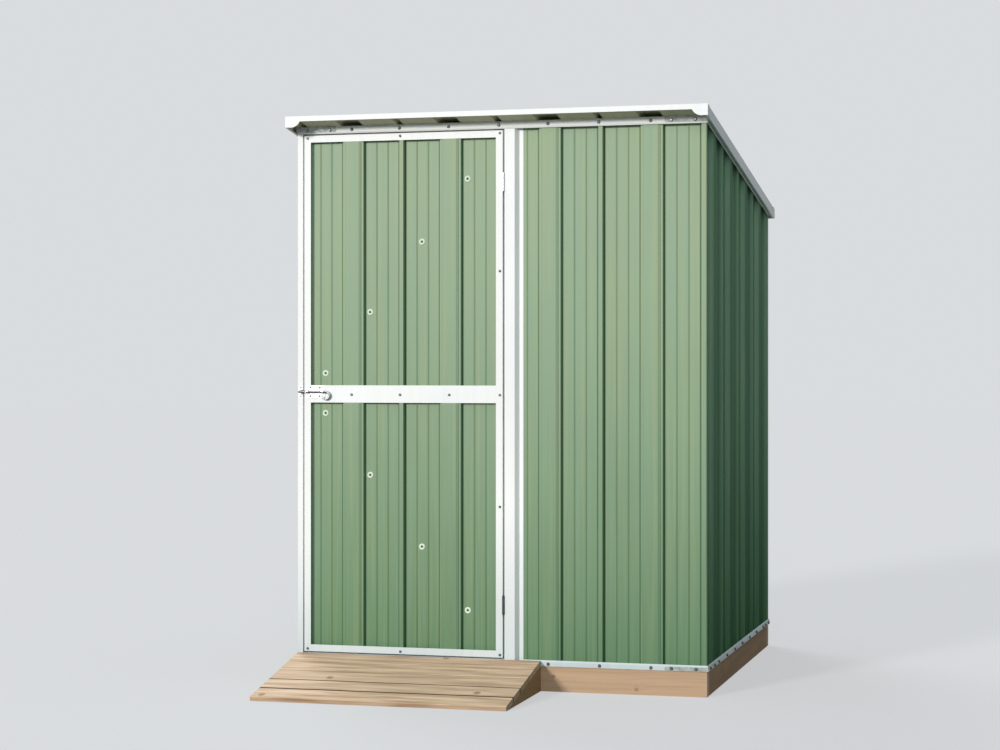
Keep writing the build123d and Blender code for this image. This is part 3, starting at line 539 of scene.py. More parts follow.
    def log_radius(self, tree: Tree, axes: Node, index: Node, chance: Node) -> Node:
        """Return the distance, in metres, from the middle of the board's own log.

        Args:
            tree: The material's node tree.
            axes: The turned coordinates, one by one.
            index: Which board it is.
            chance: Three random shares for the board.

        Returns:
            The node that gives the distance.
        """
        across = add(tree, "Math", {0: index, 1: -self.board, 2: axes.outputs["Y"]},
                     operation="MULTIPLY_ADD")
        off = add(tree, "MapRange", {
            "Value": chance.outputs[0], "To Min": self.heart_off[0],
            "To Max": self.heart_off[1]})
        under = add(tree, "MapRange", {
            "Value": chance.outputs[2], "To Min": self.heart_under[0],
            "To Max": self.heart_under[1]})
        from_heart = add(tree, "Math", {0: across, 1: off}, operation="SUBTRACT")
        down = add(tree, "Math", {0: axes.outputs["Z"], 1: under}, operation="ADD")
        section = add(tree, "CombineXYZ", {1: from_heart, 2: down})
        length = add(tree, "VectorMath", {0: section}, operation="LENGTH")
        along = add(tree, "CombineXYZ", {0: axes.outputs["X"], 1: index})
        drift = add(tree, "TexNoise", {"Vector": along, "Scale": 1.6, "Detail": 2.0})
        return add(tree, "Math", {0: drift, 1: self.drift, 2: length},
                   operation="MULTIPLY_ADD")

    def joints(self, tree: Tree, counted: Node, colour: Node, height: Node
               ) -> tuple[Node, Node]:
        """Draw the joints between boards; over the ramp's open gaps they are painted shade.

        Args:
            tree: The material's node tree.
            counted: The place across the boards, in boards.
            colour: The wood's colour.
            height: The wood's relief.

        Returns:
            The colour and the relief with the joints in them.
        """
        share = self.joint / self.board
        part = add(tree, "Math", {0: counted}, operation="FRACT")
        middle = add(tree, "Math", {0: part, 1: 0.5}, operation="SUBTRACT")
        from_middle = add(tree, "Math", {0: middle}, operation="ABSOLUTE")
        line = add(tree, "MapRange", {
            "Value": from_middle, "From Min": 0.5 - share, "From Max": 0.5 - share / 2},
            interpolation_type="SMOOTHSTEP")
        down = add(tree, "Math", {0: counted}, operation="ABSOLUTE")
        open_enough = add(tree, "MapRange", {
            "Value": down, "From Min": self.tight_joints - 1.0,
            "From Max": self.tight_joints, "To Min": 0.2})
        between = add(tree, "Math", {0: down, 1: self.last_joint}, operation="LESS_THAN")
        open_here = add(tree, "Math", {0: open_enough, 1: between}, operation="MULTIPLY")
        shown = add(tree, "Math", {0: line, 1: open_here}, operation="MULTIPLY")
        # Dark joint lines; over the ramp's open gaps they are painted shade
        lined = add(tree, "Mix", {0: shown, BASE: colour, OVER: linear(self.joint_and_gap_shade)},
                    data_type="RGBA")
        sunk = add(tree, "Math", {0: line, 1: self.joint_depth, 2: height},
                   operation="MULTIPLY_ADD")
        return lined, sunk


# Painted shade: the white trim is painted greyer and bluer towards the bottom
WHITE = Enamel("white_baked_enamel", shaded_low="BECBCD", lit_high="F5F6F5", warm="F1EFE8",
               cool="E6ECEF", low_height=0.04, high_height=0.65, fall=1.3, roughness=0.42,
               shine=0.5, streak_width=45 * MM, wave=0.15 * MM)
GREEN_FRONT = Enamel("green_sheet_front", facing=Facing.FRONT, folds_round=True)
GREEN_DOOR = Enamel("green_sheet_door", facing=Facing.FRONT)
GREEN_REAR = Enamel("green_sheet_rear", facing=Facing.REAR, folds_round=True)
# Painted shade: the side walls get a darker, bluer copy of the green paint
SHADED_GREEN_LEFT, SHADED_GREEN_RIGHT = (
    Enamel(f"green_sheet_{facing.name.lower()}", facing=facing, shaded_low="466E4A", lit_high="93B698",
           shine=0.0, crease_shade_share=0.5) for facing in (Facing.LEFT, Facing.RIGHT))
GREEN_ROOF = Enamel("green_sheet_roof", facing=Facing.UP, low_height=1.2)
# Zinc grey of itself, and darkened further as painted shade under the eaves
GALVANISED = ZincPlate("hot_dipped_zinc", bright="9B9F9A", dull="888D89", roughness=0.62,
                       grain=9 * MM)
# Painted shade: these metals darken on faces that turn down
PLATED = ZincPlate("bright_zinc_plate", bright="E4E5E4", dull="CFD1D1", underside_shade=0.95,
                   underside_shade_from=0.1)
# The rod's steel is also made dark as a painted dark reflection
BOLT_STEEL = ZincPlate("zinc_plated_rod", bright="9A9DA0", dull="7A7D80", underside_shade=0.95,
                       underside_shade_from=0.35)
GRIP_STEEL = ZincPlate("zinc_plated_grip", bright="BCBFC1", dull="9DA0A2", roughness=0.3,
                       underside_shade=0.85, underside_shade_from=0.1)
JOINER_ZINC = ZincPlate("zinc_plated_joiner_screws", bright="A9ABA6", dull="8F918C",
                        roughness=0.45, underside_shade=0.7)
# Painted dark reflection: the hinges darken towards the ground
HINGE_ZINC = ZincPlate("zinc_plated_hinges", bright="E8E8E6", dull="D6D7D6",
                       dark_reflection="4E5450", dark_reflection_height=1.2)
SCREW_ZINC = ZincPlate("dulled_zinc_screws", bright="62676A", dull="474C4E", roughness=0.42,
                       grain=3 * MM)
# Painted shade and green painted reflection: dark greenish heads stand for the shade in the
# washers' holes
SHADED_ZINC = ZincPlate("shaded_sunk_zinc_screws", bright="4C5448", dull="363E34", roughness=0.5,
                        grain=3 * MM)

# Injection-moulded nylon: waxy cream, with a green tint painted in as the light thrown from the
# green paint round it
NYLON = Moulded("nylon_cap_washer", tone="E9F8E2", cloud="D8E8D0", clouds=160.0,
                roughness=0.38, refraction=1.53, cloud_from=0.4, cloud_to=0.75)

# Moulded black rubber, weathered: dull, with a grey bloom that comes and goes
RUBBER = Moulded("black_sealing_rubber", tone="2F3230", cloud="4B4E4A", clouds=140.0,
                 roughness=0.72, refraction=1.5)


def only(parts: Iterable, kind: type) -> list:
    """Return the parts of a shape that are of one kind."""
    return [part for part in parts if isinstance(part, kind)]


def stand(shape: Shape, segments: int, foot: float, top: float, rise: float,
          start: float = 0.0) -> list[Vertex]:
    """Stand a disc or a prism on a height.

    Args:
        shape: The shape that gets it.
        segments: The number of its sides.
        foot: The radius at its foot.
        top: The radius at its top.
        rise: How tall it is.
        start: The height that it stands on.

    Returns:
        Its vertices.
    """
    made = bmesh.ops.create_cone(
        shape, cap_ends=True, segments=segments, radius1=foot, radius2=top, depth=rise,
        matrix=Matrix.Translation((0, 0, start + rise / 2)))
    return made["verts"]


def soften(shape: Shape, edges: list[Edge], size: float, segments: int = 2) -> None:
    """Round some edges of a shape off, by a size in metres."""
    bmesh.ops.bevel(shape, geom=edges, offset=size, affect="EDGES", segments=segments,
                    profile=0.5, material=-1)


@dataclass(frozen=True)
class Seat:
    """Where one fixing sits, in millimetres, and the way its head looks."""

    x: float
    y: float
    z: float
    facing: Facing | Point

    def place(self, turn: float) -> Matrix:
        """Return the matrix that seats a fixing, turned about its own axis.

        Args:
            turn: The turn about the fixing's axis, in radians.

        Returns:
            The matrix from the fixing's own frame to the shed's.
        """
        looks = self.facing.value if isinstance(self.facing, Facing) else self.facing
        aim = Vector(looks).to_track_quat("Z", "Y").to_matrix().to_4x4()
        moved = Matrix.Translation(Vector((self.x, self.y, self.z)) * MM)
        return moved @ aim @ Matrix.Rotation(turn, 4, "Z")


class Fixing:
    """A small fastener that is repeated along the shed."""

    def shape(self) -> Shape:
        """Model one fixing with its seat at the origin and its crown towards +Z."""
        raise NotImplementedError


@dataclass(frozen=True)
class HexScrew(Fixing):
    """A self-drilling screw whose hexagon head stands on its own flange."""

    across_flats: float = 7.5 * MM
    crown: float = 5.4 * MM
    flange: float = 5.2 * MM
    flange_height: float = 1.2 * MM
    flange_taper: float = 0.84
    round_off: float = 0.5 * MM

    def shape(self) -> Shape:
        """Model a round flange with a bevelled hexagon rising from it."""
        shape = bmesh.new()
        stand(shape, 24, self.flange, self.flange * self.flange_taper,
              self.flange_height)
        corner = self.across_flats / 2 / math.cos(math.pi / 6)
        start = self.flange_height / 2
        hexagon = stand(shape, 6, corner, corner, self.crown - start, start)
        top = {v for v in hexagon if v.co.z > (start + self.crown) / 2}
        soften(shape, [e for e in shape.edges if set(e.verts) <= top], self.round_off)
        return shape


@dataclass(frozen=True)
class SealRing(Fixing):
    """The flat rubber ring that a screw's flange presses on the sheet."""

    radius: float = 6.3 * MM
    taper: float = 0.93
    rise: float = 1.1 * MM

    def shape(self) -> Shape:
        """Model a disc with a slightly smaller top."""
        shape = bmesh.new()
        stand(shape, 24, self.radius, self.taper * self.radius, self.rise)
        return shape


@dataclass(frozen=True)
class CapWasher(Fixing):
    """A domed sealing washer with a hole for the screw head."""

    radius: float = 11.6 * MM
    hole: float = 4.4 * MM
    rise: float = 3.6 * MM

    def shape(self) -> Shape:
        """Spin the washer's half section about its axis."""
        section = ((self.radius, 0.0), (self.radius, 0.25 * self.rise),
                   (0.86 * self.radius, 0.72 * self.rise), (0.68 * self.radius, self.rise),
                   (0.53 * self.radius, 0.86 * self.rise), (self.hole, 0.5 * self.rise),
                   (self.hole, 0.0))
        shape = bmesh.new()
        points = [shape.verts.new((radius, 0.0, height)) for radius, height in section]
        line = [shape.edges.new(pair) for pair in zip(points, points[1:] + points[:1])]
        bmesh.ops.spin(shape, geom=points + line, cent=(0, 0, 0), axis=(0, 0, 1),
                       angle=2 * math.pi, steps=32, use_merge=True)
        bmesh.ops.recalc_face_normals(shape, faces=shape.faces)
        return shape


@dataclass(frozen=True)
class CrossScrew(Fixing):
    """A small round-headed screw with a cross recess."""

    radius: float = 3.4 * MM
    taper: float = 0.78
    rise: float = 1.7 * MM
    crown: float = 0.9
    swell: float = 0.15
    recess: float = 1.9 * MM
    pinch: float = 0.45
    sink: float = 0.6

    def shape(self) -> Shape:
        """Raise the head from a disc, and sink a four-pointed recess into its crown."""
        shape = bmesh.new()
        stand(shape, 16, self.radius, self.taper * self.radius, self.rise)
        crown = max(shape.faces, key=lambda face: face.calc_center_median().z)
        bmesh.ops.inset_region(shape, faces=[crown], depth=self.swell * self.rise,
                               thickness=self.crown * self.radius - self.recess)
        arms = sorted(crown.verts, key=lambda v: math.atan2(v.co.y, v.co.x))
        for number, vertex in enumerate(arms):
            if number % 4 > 1:
                vertex.co.xy = vertex.co.xy * self.pinch
        sunk = bmesh.ops.extrude_face_region(shape, geom=[crown])
        floor = only(sunk["geom"], Vertex)
        bmesh.ops.translate(shape, verts=floor, vec=(0, 0, -self.sink * self.rise))
        bmesh.ops.scale(shape, verts=floor, vec=(0.5, 0.5, 1.0))
        bmesh.ops.delete(shape, geom=[crown], context="FACES_ONLY")
        bmesh.ops.recalc_face_normals(shape, faces=shape.faces)
        return shape


class Assembly:
    """A sub-assembly of the shed, with its CAD nodes and its fixings."""

    def dress(self, finish: Finish, *nodes: str) -> Iterator[Piece]:
        """Give CAD nodes a finish.

        Args:
            finish: The finish that they get.
            nodes: The names of the nodes.

        Yields:
            Each node's object.
        """
        for name in nodes:
            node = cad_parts[name]
            node.data.materials.clear()
            node.data.materials.append(finish.material())
            yield node

    def make(self, name: str, body: Body, slot: Slot, finish: Finish, shape: Shape) -> Piece:
        """Turn a shape into a piece of the shed, and free the shape.

        Args:
            name: The piece's name.
            body: The body that it rides on.
            slot: The record's material slot. Not used.
            finish: The finish that it gets.
            shape: The shape, in its place.

        Returns:
            The new piece.
        """
        mesh = bpy.data.meshes.new(name)
        shape.to_mesh(mesh)
        shape.free()
        mesh.materials.append(finish.material())
        piece = bpy.data.objects.new(name, mesh)
        bpy.context.scene.collection.objects.link(piece)
        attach(piece, body.value)
        return piece

    def fasten(self, name: str, body: Body, finish: Finish, fixing: Fixing,
               seats: Iterable[Seat]) -> Piece:
        """Repeat one fixing at its seats, as one piece.

        Args:
            name: The piece's name.
            body: The body that it rides on.
            finish: The finish that it gets.
            fixing: The fastener that is repeated.
            seats: Where the fasteners sit.

        Returns:
            The new piece.
        """
        one = bpy.data.meshes.new(f"{name}_one")
        shape = fixing.shape()
        shape.to_mesh(one)
        shape.free()
        chance = random.Random(name)
        row = bmesh.new()
        for seat in seats:
            already = len(row.verts)
            row.from_mesh(one)
            row.verts.ensure_lookup_table()
            bmesh.ops.transform(row, matrix=seat.place(chance.uniform(0, math.pi / 3)),
                                verts=row.verts[already:])
        bpy.data.meshes.remove(one)
        return self.make(name, body, Slot.ZINC, finish, row)

    def build(self) -> Iterator[Piece]:
        """Dress the nodes and model the fixings.

        Yields:
            Each piece, once it is finished.
        """
        raise NotImplementedError


@dataclass
class TimberBase(Assembly):
    """Bearers on edge, joists between them and the floor boards."""

    bearer: float = 100 * MM
    bearer_shift: Point = (0.0, 95 * MM, -730 * MM)
    joist: float = 380 * MM
    floor_board: float = 110 * MM
    floor_joint: float = 3 * MM

    def build(self) -> Iterator[Piece]:
        """Dress the timber so that each grain runs along its own length."""
        quarter = math.pi / 2
        across = Pine("pine_bearer_across", turn=(-quarter, 0.0, 0.0),
                      shift=self.bearer_shift, board=self.bearer)
        # Painted shade: the side bearers get a darker copy of the pine
        along = Pine("pine_bearer_along_shaded", turn=(0.0, quarter, quarter), board=self.bearer,
                     pale="B8936F", dark="926E4E", grey="A48C72", shine=0.1)
        joist = Pine("pine_joist", turn=(0.0, 0.0, quarter), board=self.joist)
        floor = Pine("pine_floor", board=self.floor_board, joint=self.floor_joint)
        yield from self.dress(across, "front_bearer", "rear_bearer")
        yield from self.dress(along, "left_bearer", "right_bearer")
        yield from self.dress(joist, "floor_joists")
        yield from self.dress(floor, "floor_deck")


@dataclass
class Ramp(Assembly):
    """Five boards across two tapered cheeks."""

    rise: float = 94.5 * MM
    run: float = 482 * MM
    top: Point = (-0.760, -0.7643, 0.1095)
    board: float = 98.4 * MM
    cheek: float = 100 * MM

    def build(self) -> Iterator[Piece]:
        """Dress the boards down the slope, and the cheeks along theirs."""
        slope = math.atan2(self.rise, self.run)
        turned = Matrix.Rotation(-slope, 3, "X") @ Vector(self.top)
        boards = Pine("pine_ramp_boards", turn=(-slope, 0.0, 0.0), shift=tuple(-turned),
                      board=self.board, pale="FFDCBA", dark="A47C5C", grey="E6C8AC",
                      knot="94694C", ring_share=0.14, band_share=0.70,
                      band=(300 * MM, 26 * MM, 26 * MM), knot_spacing=0.36,
                      knot_size=18 * MM, joint=7 * MM, tight_joints=2.8, last_joint=4.7,
                      end_and_shade_share=0.3, shine=0.3)
        # Painted shade: the cheeks get a darker copy of the pine
        cheeks = Pine("pine_ramp_cheeks_shaded", turn=(0.0, math.pi / 2, math.pi / 2),
                      board=self.cheek, pale="B48E66", dark="8E6A46", shine=0.1)
        yield from self.dress(boards, "ramp_boards")
        yield from self.dress(cheeks, "ramp_left_cheek", "ramp_right_cheek")


@dataclass
class Rails(Assembly):
    """The folded rails round the top and the foot, their joiners and screws."""

    face: float = 764.0
    header_face: float = 767.0
    joiner: float = 1.5
    joiner_start: float = 610.0
    header_height: float = 2027.5
    rear_height: float = 1803.5
    foot_height: float = 98.0
    front_xs: tuple[float, ...] = (187.8, 375.1, 560.5, 634.2, 721.7)
    side_ys: tuple[float, ...] = (-720, -634, -533, -348, -163, 22, 207, 392, 577, 640, 720)
    header_xs: tuple[float, ...] = (-723.6, -634, -549.9, -367.9, -181.5, 5.9, 187.4, 373,
                                    560.5, 633.9, 719.9)

    def out(self, place: float, face: float) -> float:
        """Return how far out a screw sits: on the rail, or on the joiner over it."""
        return face + (self.joiner if abs(place) > self.joiner_start else 0.0)

    def foot_seats(self) -> Iterator[Seat]:
        """Yield the seats of the screws round the foot."""
        for x in self.front_xs:
            yield Seat(x, -self.out(x, self.face), self.foot_height, Facing.FRONT)
        for x in self.header_xs:
            yield Seat(x, self.out(x, self.face), self.foot_height, Facing.REAR)
        for y in self.side_ys:
            yield Seat(self.out(y, self.face), y, self.foot_height, Facing.RIGHT)
            left = self.face if y < 0 else self.out(y, self.face)
            yield Seat(-left, y, self.foot_height, Facing.LEFT)

    def header_seats(self, on_joiners: bool) -> Iterator[Seat]:
        """Yield the seats of the screws along the header, on its joiners or between them."""
        for x in self.header_xs:
            if (abs(x) > self.joiner_start) == on_joiners:
                yield Seat(x, -self.out(x, self.header_face), self.header_height,
                           Facing.FRONT)

    def rear_seats(self) -> Iterator[Seat]:
        """Yield the seats of the screws along the rear rail."""
        for x in self.header_xs:
            yield Seat(x, self.face, self.rear_height, Facing.REAR)

    def build(self) -> Iterator[Piece]:
        """Dress the rails and joiners, and screw them on."""
        yield from self.dress(
            WHITE, "front_base_rail", "rear_base_rail", "left_base_rail", "right_base_rail",
            "door_sill", "front_header_rail", "rear_top_rail", "left_rake_rail",
            "right_rake_rail", "left_door_jamb", "door_head_stop")
        yield from self.dress(GALVANISED, "header_joiners", "base_joiners")
        rows = (("foot_screws", SCREW_ZINC, self.foot_seats()),
                ("header_screws", SCREW_ZINC, self.header_seats(False)),
                ("header_joiner_screws", JOINER_ZINC, self.header_seats(True)),
                ("rear_rail_screws", SCREW_ZINC, self.rear_seats()))
        for name, finish, seats in rows:
            places = list(seats)
            yield self.fasten(name, Body.SHED, finish, HexScrew(), places)
            yield self.fasten(f"{name}_rings", Body.SHED, RUBBER, SealRing(), places)


@dataclass
class PanelJamb(Assembly):
    """The jamb beside the panel, folded from one strip with a splayed step.

    Its CAD node has a square step, and this piece stands for it.
    """

    inner: float = 25.6 * MM
    face_width: float = 38.6 * MM
    splay: float = 13 * MM
    outer: float = 92.0 * MM
    stop_y: float = -735 * MM
    face_y: float = -763 * MM
    flange_y: float = -745.2 * MM
    foot: float = 91.2 * MM
    head: Point = (0.0, -760 * MM, 2038 * MM)
    steel: float = 1.2 * MM
    fold: float = 1.4 * MM

    def build(self) -> Iterator[Piece]:
        """Draw the strip's line, raise it, round its folds and cut it under the header."""
        step = self.inner + self.face_width
        line = ((self.inner, self.stop_y), (self.inner, self.face_y), (step, self.face_y),
                (step + self.splay, self.flange_y), (self.outer, self.flange_y))
        strip = bmesh.new()
        points = [strip.verts.new((x, y, self.foot)) for x, y in line]
        edges = [strip.edges.new(pair) for pair in zip(points, points[1:])]
        raised = bmesh.ops.extrude_edge_only(strip, edges=edges)
        bmesh.ops.translate(strip, verts=only(raised["geom"], Vertex),
                            vec=(0.0, 0.0, self.head[2]))
        folds = [edge for edge in strip.edges if len(edge.link_faces) == 2]
        soften(strip, folds, self.fold)
        bmesh.ops.bisect_plane(strip, geom=strip.verts[:] + strip.edges[:] + strip.faces[:],
                               plane_co=self.head, clear_outer=True,
                               plane_no=(0.0, math.sin(ROOF_PITCH), math.cos(ROOF_PITCH)))
        bmesh.ops.recalc_face_normals(strip, faces=strip.faces)
        front = min(strip.faces, key=lambda part: part.calc_center_median().y)
        if front.normal.y > 0:
            bmesh.ops.reverse_faces(strip, faces=strip.faces)
        piece = self.make("right_jamb_strip", Body.SHED, Slot.WHITE, WHITE, strip)
        wall = piece.modifiers.new("steel", "SOLIDIFY")
        wall.thickness = self.steel
        wall.offset = -1.0
        wall.use_even_offset = True
        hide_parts("right_door_jamb")
        yield piece


@dataclass
class Walls(Assembly):
    """The ribbed sheets of the four walls."""

    def build(self) -> Iterator[Piece]:
        """Dress each wall with its colour coat outwards."""
        yield from self.dress(GREEN_FRONT, "front_panel")
        yield from self.dress(SHADED_GREEN_RIGHT, "right_wall_front_sheet", "right_wall_rear_sheet")
        yield from self.dress(SHADED_GREEN_LEFT, "left_wall_front_sheet", "left_wall_rear_sheet")
        yield from self.dress(GREEN_REAR, "rear_wall_left_sheet", "rear_wall_right_sheet")


@dataclass
class Roof(Assembly):
    """Two ribbed roof sheets, their flashings and the screws through their crests."""

    front_height: float = 2039.5
    front_y: float = -760.0
    crest: float = 17.2
    first_rib: float = SHEET_RIBS[Facing.UP] / MM
    period: float = SHEET_REPEAT / MM
    wide_middle: float = 44.0
    narrow_middle: float = NARROW_MIDDLE / MM
    last_x: float = 700.0
    rows: Span = (-742.0, 742.0)

    def seats(self) -> Iterator[Seat]:
        """Yield the seats of the screws on the crests, over the two end rails."""
        tilt = (0.0, math.sin(ROOF_PITCH), math.cos(ROOF_PITCH))
        for y in self.rows:
            height = (self.front_height - (y - self.front_y) * math.tan(ROOF_PITCH)
                      + self.crest / math.cos(ROOF_PITCH))
            for repeat in range(4):
                rib = self.first_rib + repeat * self.period
                yield Seat(rib + self.wide_middle, y, height, tilt)
                if rib + self.narrow_middle < self.last_x:
                    yield Seat(rib + self.narrow_middle, y, height, tilt)

    def build(self) -> Iterator[Piece]:
        """Dress the sheets and flashings, and screw the sheets down."""
        yield from self.dress(GREEN_ROOF, "roof_left_sheet", "roof_right_sheet")
        yield from self.dress(WHITE, "front_roof_flashing", "rear_roof_flashing",
                              "left_barge_flashing", "right_barge_flashing")
        places = list(self.seats())
        yield self.fasten("roof_screws", Body.SHED, SCREW_ZINC, HexScrew(), places)
        yield self.fasten("roof_screw_rings", Body.SHED, RUBBER, SealRing(), places)


@dataclass
class Door(Assembly):
    """The framed door, its two sheets, braces and hinges."""

    face: float = -763.0
    pan: float = -745.5
    top_height: float = 1999.0
    middle_height: float = 1058.0
    bottom_height: float = 124.5
    stile_x: float = 8.9
    top_xs: tuple[float, ...] = (-722.5, -366.3)
    middle_xs: tuple[float, ...] = (-552.2, -366.7, -180.4)
    bottom_xs: tuple[float, ...] = (-722.5, -365.6)
    stile_heights: tuple[float, ...] = (1503.5, 656.5)
    washers: tuple[Span, ...] = (
        (-115.5, 1838.5), (-288.0, 1613.5), (-486.0, 1359.5), (-658.0, 1136.0),
        (-658.0, 989.5), (-485.5, 764.0), (-288.0, 506.0), (-115.0, 280.0))

    def frame_seats(self) -> Iterator[Seat]:
        """Yield the seats of the screws in the door's frame."""
        rails = ((self.top_height, self.top_xs), (self.middle_height, self.middle_xs),
                 (self.bottom_height, self.bottom_xs))
        for height, places in rails:
            for x in places + (self.stile_x,):
                yield Seat(x, self.face, height, Facing.FRONT)
        for height in self.stile_heights:
            yield Seat(self.stile_x, self.face, height, Facing.FRONT)

    def washer_seats(self, rise: float) -> list[Seat]:
        """Return the seats along the braces, raised off the pans by a distance."""
        return [Seat(x, self.pan - rise, z, Facing.FRONT) for x, z in self.washers]

    def build(self) -> Iterator[Piece]:
        """Dress the door and its hinges, and fit their fixings."""
        yield from self.dress(WHITE, "door_left_stile", "door_right_stile", "door_top_rail",
                              "door_bottom_rail", "door_middle_rail", "door_upper_brace",
                              "door_lower_brace")
        yield from self.dress(HINGE_ZINC, "hinge_door_leaves", "hinge_frame_leaves")
        yield from self.dress(GREEN_DOOR, "door_lower_sheet", "door_upper_sheet")
        yield self.fasten("door_frame_screws", Body.DOOR, SCREW_ZINC,
                          HexScrew(flange=4.8 * MM, crown=4.6 * MM), self.frame_seats())
        yield self.fasten("brace_washers", Body.DOOR, NYLON, CapWasher(),
                          self.washer_seats(0.0))
        yield self.fasten("brace_screws", Body.DOOR, SHADED_ZINC,
                          HexScrew(across_flats=5.5 * MM, flange=3.6 * MM, crown=3.4 * MM),
                          self.washer_seats(0.4))


@dataclass
class PadBolt(Assembly):
    """The sliding bolt, its guides, its keeper and its grip.

    The grip's CAD node starts in the very face that ends the rod. The piece that stands for
    it leaves a hair of room there, so that the grip turns free.
    """

    bar: float = 3.5 * MM
    bend: float = 13.4 * MM
    pivot: Point = (-647.4 * MM, -771.5 * MM, 1054.6 * MM)
    sweep: float = math.radians(215)
    room: float = math.radians(0.5)
    tail: float = 10 * MM
    tip: float = 1.2 * MM
    face: float = -764.5
    height: float = 1068.0
    spread: float = 16.0
    plate_xs: tuple[float, ...] = (-711.7, -675.0)
    keeper_x: float = -748.5

    def seats(self, places: Iterable[float]) -> list[Seat]:
        """Return the seats above and below the rod at some places along it."""
        return [Seat(x, self.face, self.height + side * self.spread, Facing.FRONT)
                for x in places for side in (-1, 1)]

    def grip(self) -> Piece:
        """Bend a round bar from the rod's end into a hook, and round its tip."""
        shape = bmesh.new()
        place = (Matrix.Translation(self.pivot) @ Matrix.Rotation(self.room, 4, "Y")
                 @ Matrix.Translation((0.0, 0.0, self.bend))
                 @ Matrix.Rotation(math.pi / 2, 4, "Y"))
        start = bmesh.ops.create_circle(shape, segments=24, radius=self.bar, matrix=place)
        bent = bmesh.ops.spin(shape, geom=start["verts"] + shape.edges[:], cent=self.pivot,
                              axis=(0, 1, 0), angle=self.sweep - self.room, steps=32)
        drawn = bmesh.ops.extrude_edge_only(shape, edges=only(bent["geom_last"], Edge))
        ends = only(drawn["geom"], Vertex)
        onwards = Vector((math.cos(self.sweep), 0.0, -math.sin(self.sweep)))
        bmesh.ops.translate(shape, verts=ends, vec=onwards * self.tail)
        bmesh.ops.holes_fill(shape, edges=[edge for edge in shape.edges if edge.is_boundary])
        rim = [edge for edge in shape.edges if set(edge.verts) <= set(ends)]
        soften(shape, rim, self.tip, segments=3)
        bmesh.ops.recalc_face_normals(shape, faces=shape.faces)
        for part in shape.faces:
            part.smooth = len(part.verts) == 4
        piece = self.make("bolt_grip_bar", Body.GRIP, Slot.ZINC, GRIP_STEEL, shape)
        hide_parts("bolt_handle")
        return piece

    def build(self) -> Iterator[Piece]:
        """Dress the bolt and fit its grip and screws."""
        yield from self.dress(PLATED, "bolt_plate", "bolt_keeper")
        yield from self.dress(BOLT_STEEL, "bolt_rod")
        yield self.grip()
        yield self.fasten("bolt_plate_screws", Body.DOOR, SCREW_ZINC, CrossScrew(),
                          self.seats(self.plate_xs))
        yield self.fasten("bolt_keeper_screws", Body.SHED, SCREW_ZINC,
                          CrossScrew(radius=2.8 * MM), self.seats((self.keeper_x,)))


@dataclass(frozen=True)
class SoftSun:
    """A distant lamp with a wide face, turned from the front's normal to the right."""

    name: str
    azimuth: float
    elevation: float
    strength: float
    width: float
    colour: str = "FFFFFF"
    distance: float = 10.0

    def build(self) -> None:
        """Hang the lamp and turn its face to the shed."""
        light = bpy.data.lights.new(self.name, "SUN")
        light.angle = math.radians(self.width)
        light.energy = self.strength
        light.color = linear(self.colour)[:3]
        lamp = bpy.data.objects.new(self.name, light)
        turn = math.radians(self.azimuth)
        rise = math.radians(self.elevation)
        to_lamp = Vector((math.sin(turn) * math.cos(rise), -math.cos(turn) * math.cos(rise),
                          math.sin(rise)))
        lamp.rotation_euler = to_lamp.to_track_quat("Z", "Y").to_euler()
        lamp.location = to_lamp * self.distance
        bpy.context.scene.collection.objects.link(lamp)


def seen_rays(tree: Tree) -> Node:
    """Return a share that is one for rays that show the room, to the eye or in metal."""
    ray = add(tree, "LightPath")
    share = ray.outputs["Is Camera Ray"]
    for kind in ("Is Glossy Ray", "Is Transmission Ray"):
        share = add(tree, "Math", {0: share, 1: ray.outputs[kind]}, operation="MAXIMUM")
    return share


@dataclass(frozen=True)
class StudioFloor(Finish):
    """Matt pale floor paint, whose pale look throws no light on the shed.

    It keeps the shed's shadow, and it meets the backdrop without a line.
    """

    paint: str = "8E9192"
    thrown: str = "667068"
    glow: str = "B9B7B8"

    def shade(self, tree: Tree) -> Node:
        """Mix the shown and the thrown colour by the kind of ray."""
        seen = seen_rays(tree)
        colour = add(tree, "Mix", {
            0: seen, BASE: linear(self.thrown), OVER: linear(self.paint)}, data_type="RGBA")
        matt = add(tree, "BsdfDiffuse", {"Color": colour})
        glow = add(tree, "Emission", {"Color": linear(self.glow), "Strength": seen})
        return add(tree, "AddShader", {0: matt, 1: glow})


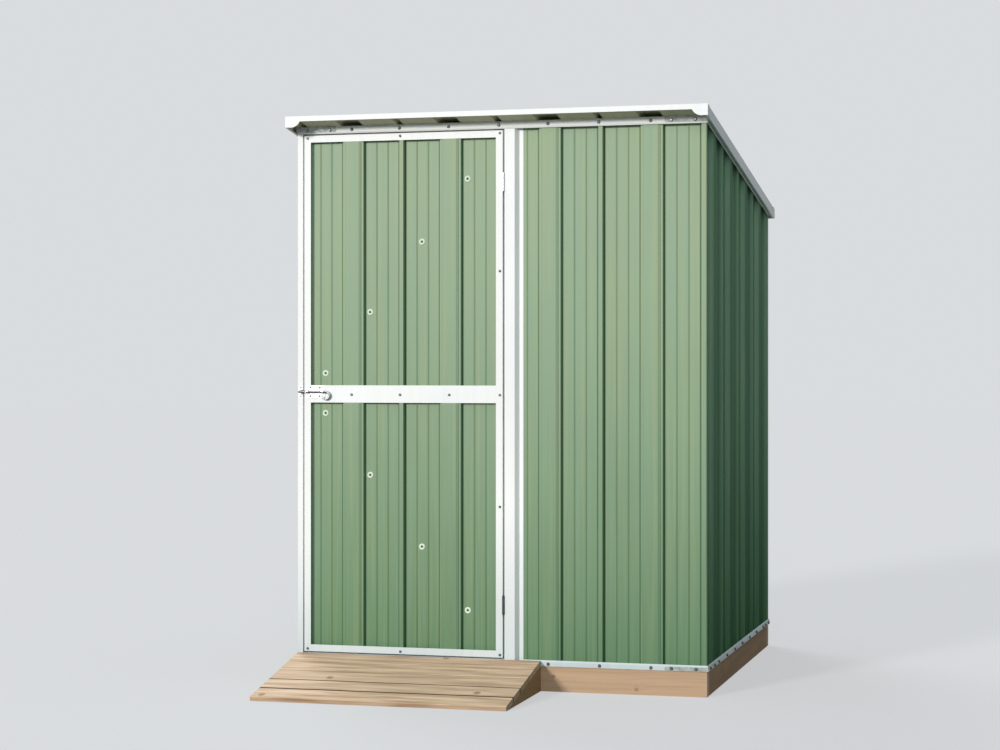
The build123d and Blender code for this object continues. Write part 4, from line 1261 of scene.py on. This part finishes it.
@dataclass
class Studio:
    """The pale room, its soft light and the camera at the photograph's angle."""

    camera_place: Point = (2.0516, -8.3835, 1.148)
    camera_turn: float = 15.0
    lens: float = 79.1
    sensor: float = 36.0
    shift_up: float = -0.005
    floor_radius: float = 60.0
    sky: str = "D0E8F2"
    zenith: float = 0.86
    gather: float = 2.0
    backdrop: str = "D9DCDE"
    lamps: tuple[SoftSun, ...] = (
        SoftSun("key", azimuth=-24.0, elevation=16.0, strength=2.2, width=10.0, colour="FFFBF8"),
        SoftSun("front", azimuth=12.0, elevation=20.0, strength=0.84, width=32.0, colour="F2F9FC"),
        SoftSun("back", azimuth=-140.0, elevation=40.0, strength=1.1, width=30.0),
    )

    def floor(self) -> None:
        """Lay the floor as a wide disc."""
        disc = bmesh.new()
        bmesh.ops.create_circle(disc, cap_ends=True, segments=96, radius=self.floor_radius)
        mesh = bpy.data.meshes.new("studio_floor")
        disc.to_mesh(mesh)
        disc.free()
        mesh.materials.append(StudioFloor("studio_floor_paint").material())
        floor = bpy.data.objects.new("studio_floor", mesh)
        bpy.context.scene.collection.objects.link(floor)

    def world(self) -> None:
        """Light the room softly from above, and show a pale backdrop to the eye."""
        world = bpy.data.worlds.new("studio")
        world.use_nodes = True
        tree = world.node_tree
        tree.nodes.clear()
        place = add(tree, "TexCoord")
        axes = add(tree, "SeparateXYZ", {0: place.outputs["Generated"]})
        above = add(tree, "Math", {0: axes.outputs["Z"], 1: 0.0}, operation="MAXIMUM")
        dome = add(tree, "Math", {0: above, 1: self.gather}, operation="POWER")
        level = add(tree, "Math", {0: dome, 1: self.zenith}, operation="MULTIPLY")
        soft = add(tree, "Background", {"Color": linear(self.sky), "Strength": level})
        shown = add(tree, "Background", {"Color": linear(self.backdrop), "Strength": 1.0})
        both = add(tree, "MixShader", {0: seen_rays(tree), 1: soft, 2: shown})
        add(tree, "OutputWorld", {"Surface": both})
        bpy.context.scene.world = world

    def camera(self) -> None:
        """Set the camera level, where the photograph was taken from."""
        data = bpy.data.cameras.new("photo_camera")
        data.lens = self.lens
        data.sensor_width = self.sensor
        data.shift_y = self.shift_up
        camera = bpy.data.objects.new("photo_camera", data)
        camera.location = self.camera_place
        camera.rotation_euler = (math.pi / 2, 0.0, math.radians(self.camera_turn))
        bpy.context.scene.collection.objects.link(camera)
        bpy.context.scene.camera = camera

    def build(self) -> None:
        """Put up the room."""
        self.floor()
        self.world()
        self.camera()
        for lamp in self.lamps:
            lamp.build()
        bpy.context.scene.view_settings.view_transform = "Standard"


def main() -> None:
    """Dress the shed, fit its fixings and put up the studio."""
    logging.basicConfig(level=logging.INFO, format="%(message)s")
    for assembly in (TimberBase(), Ramp(), Rails(), PanelJamb(), Walls(), Roof(), Door(),
                     PadBolt()):
        for piece in assembly.build():
            log.info("%s: %s", type(assembly).__name__, piece.name)
    Studio().build()


if __name__ == "__main__":
    main()
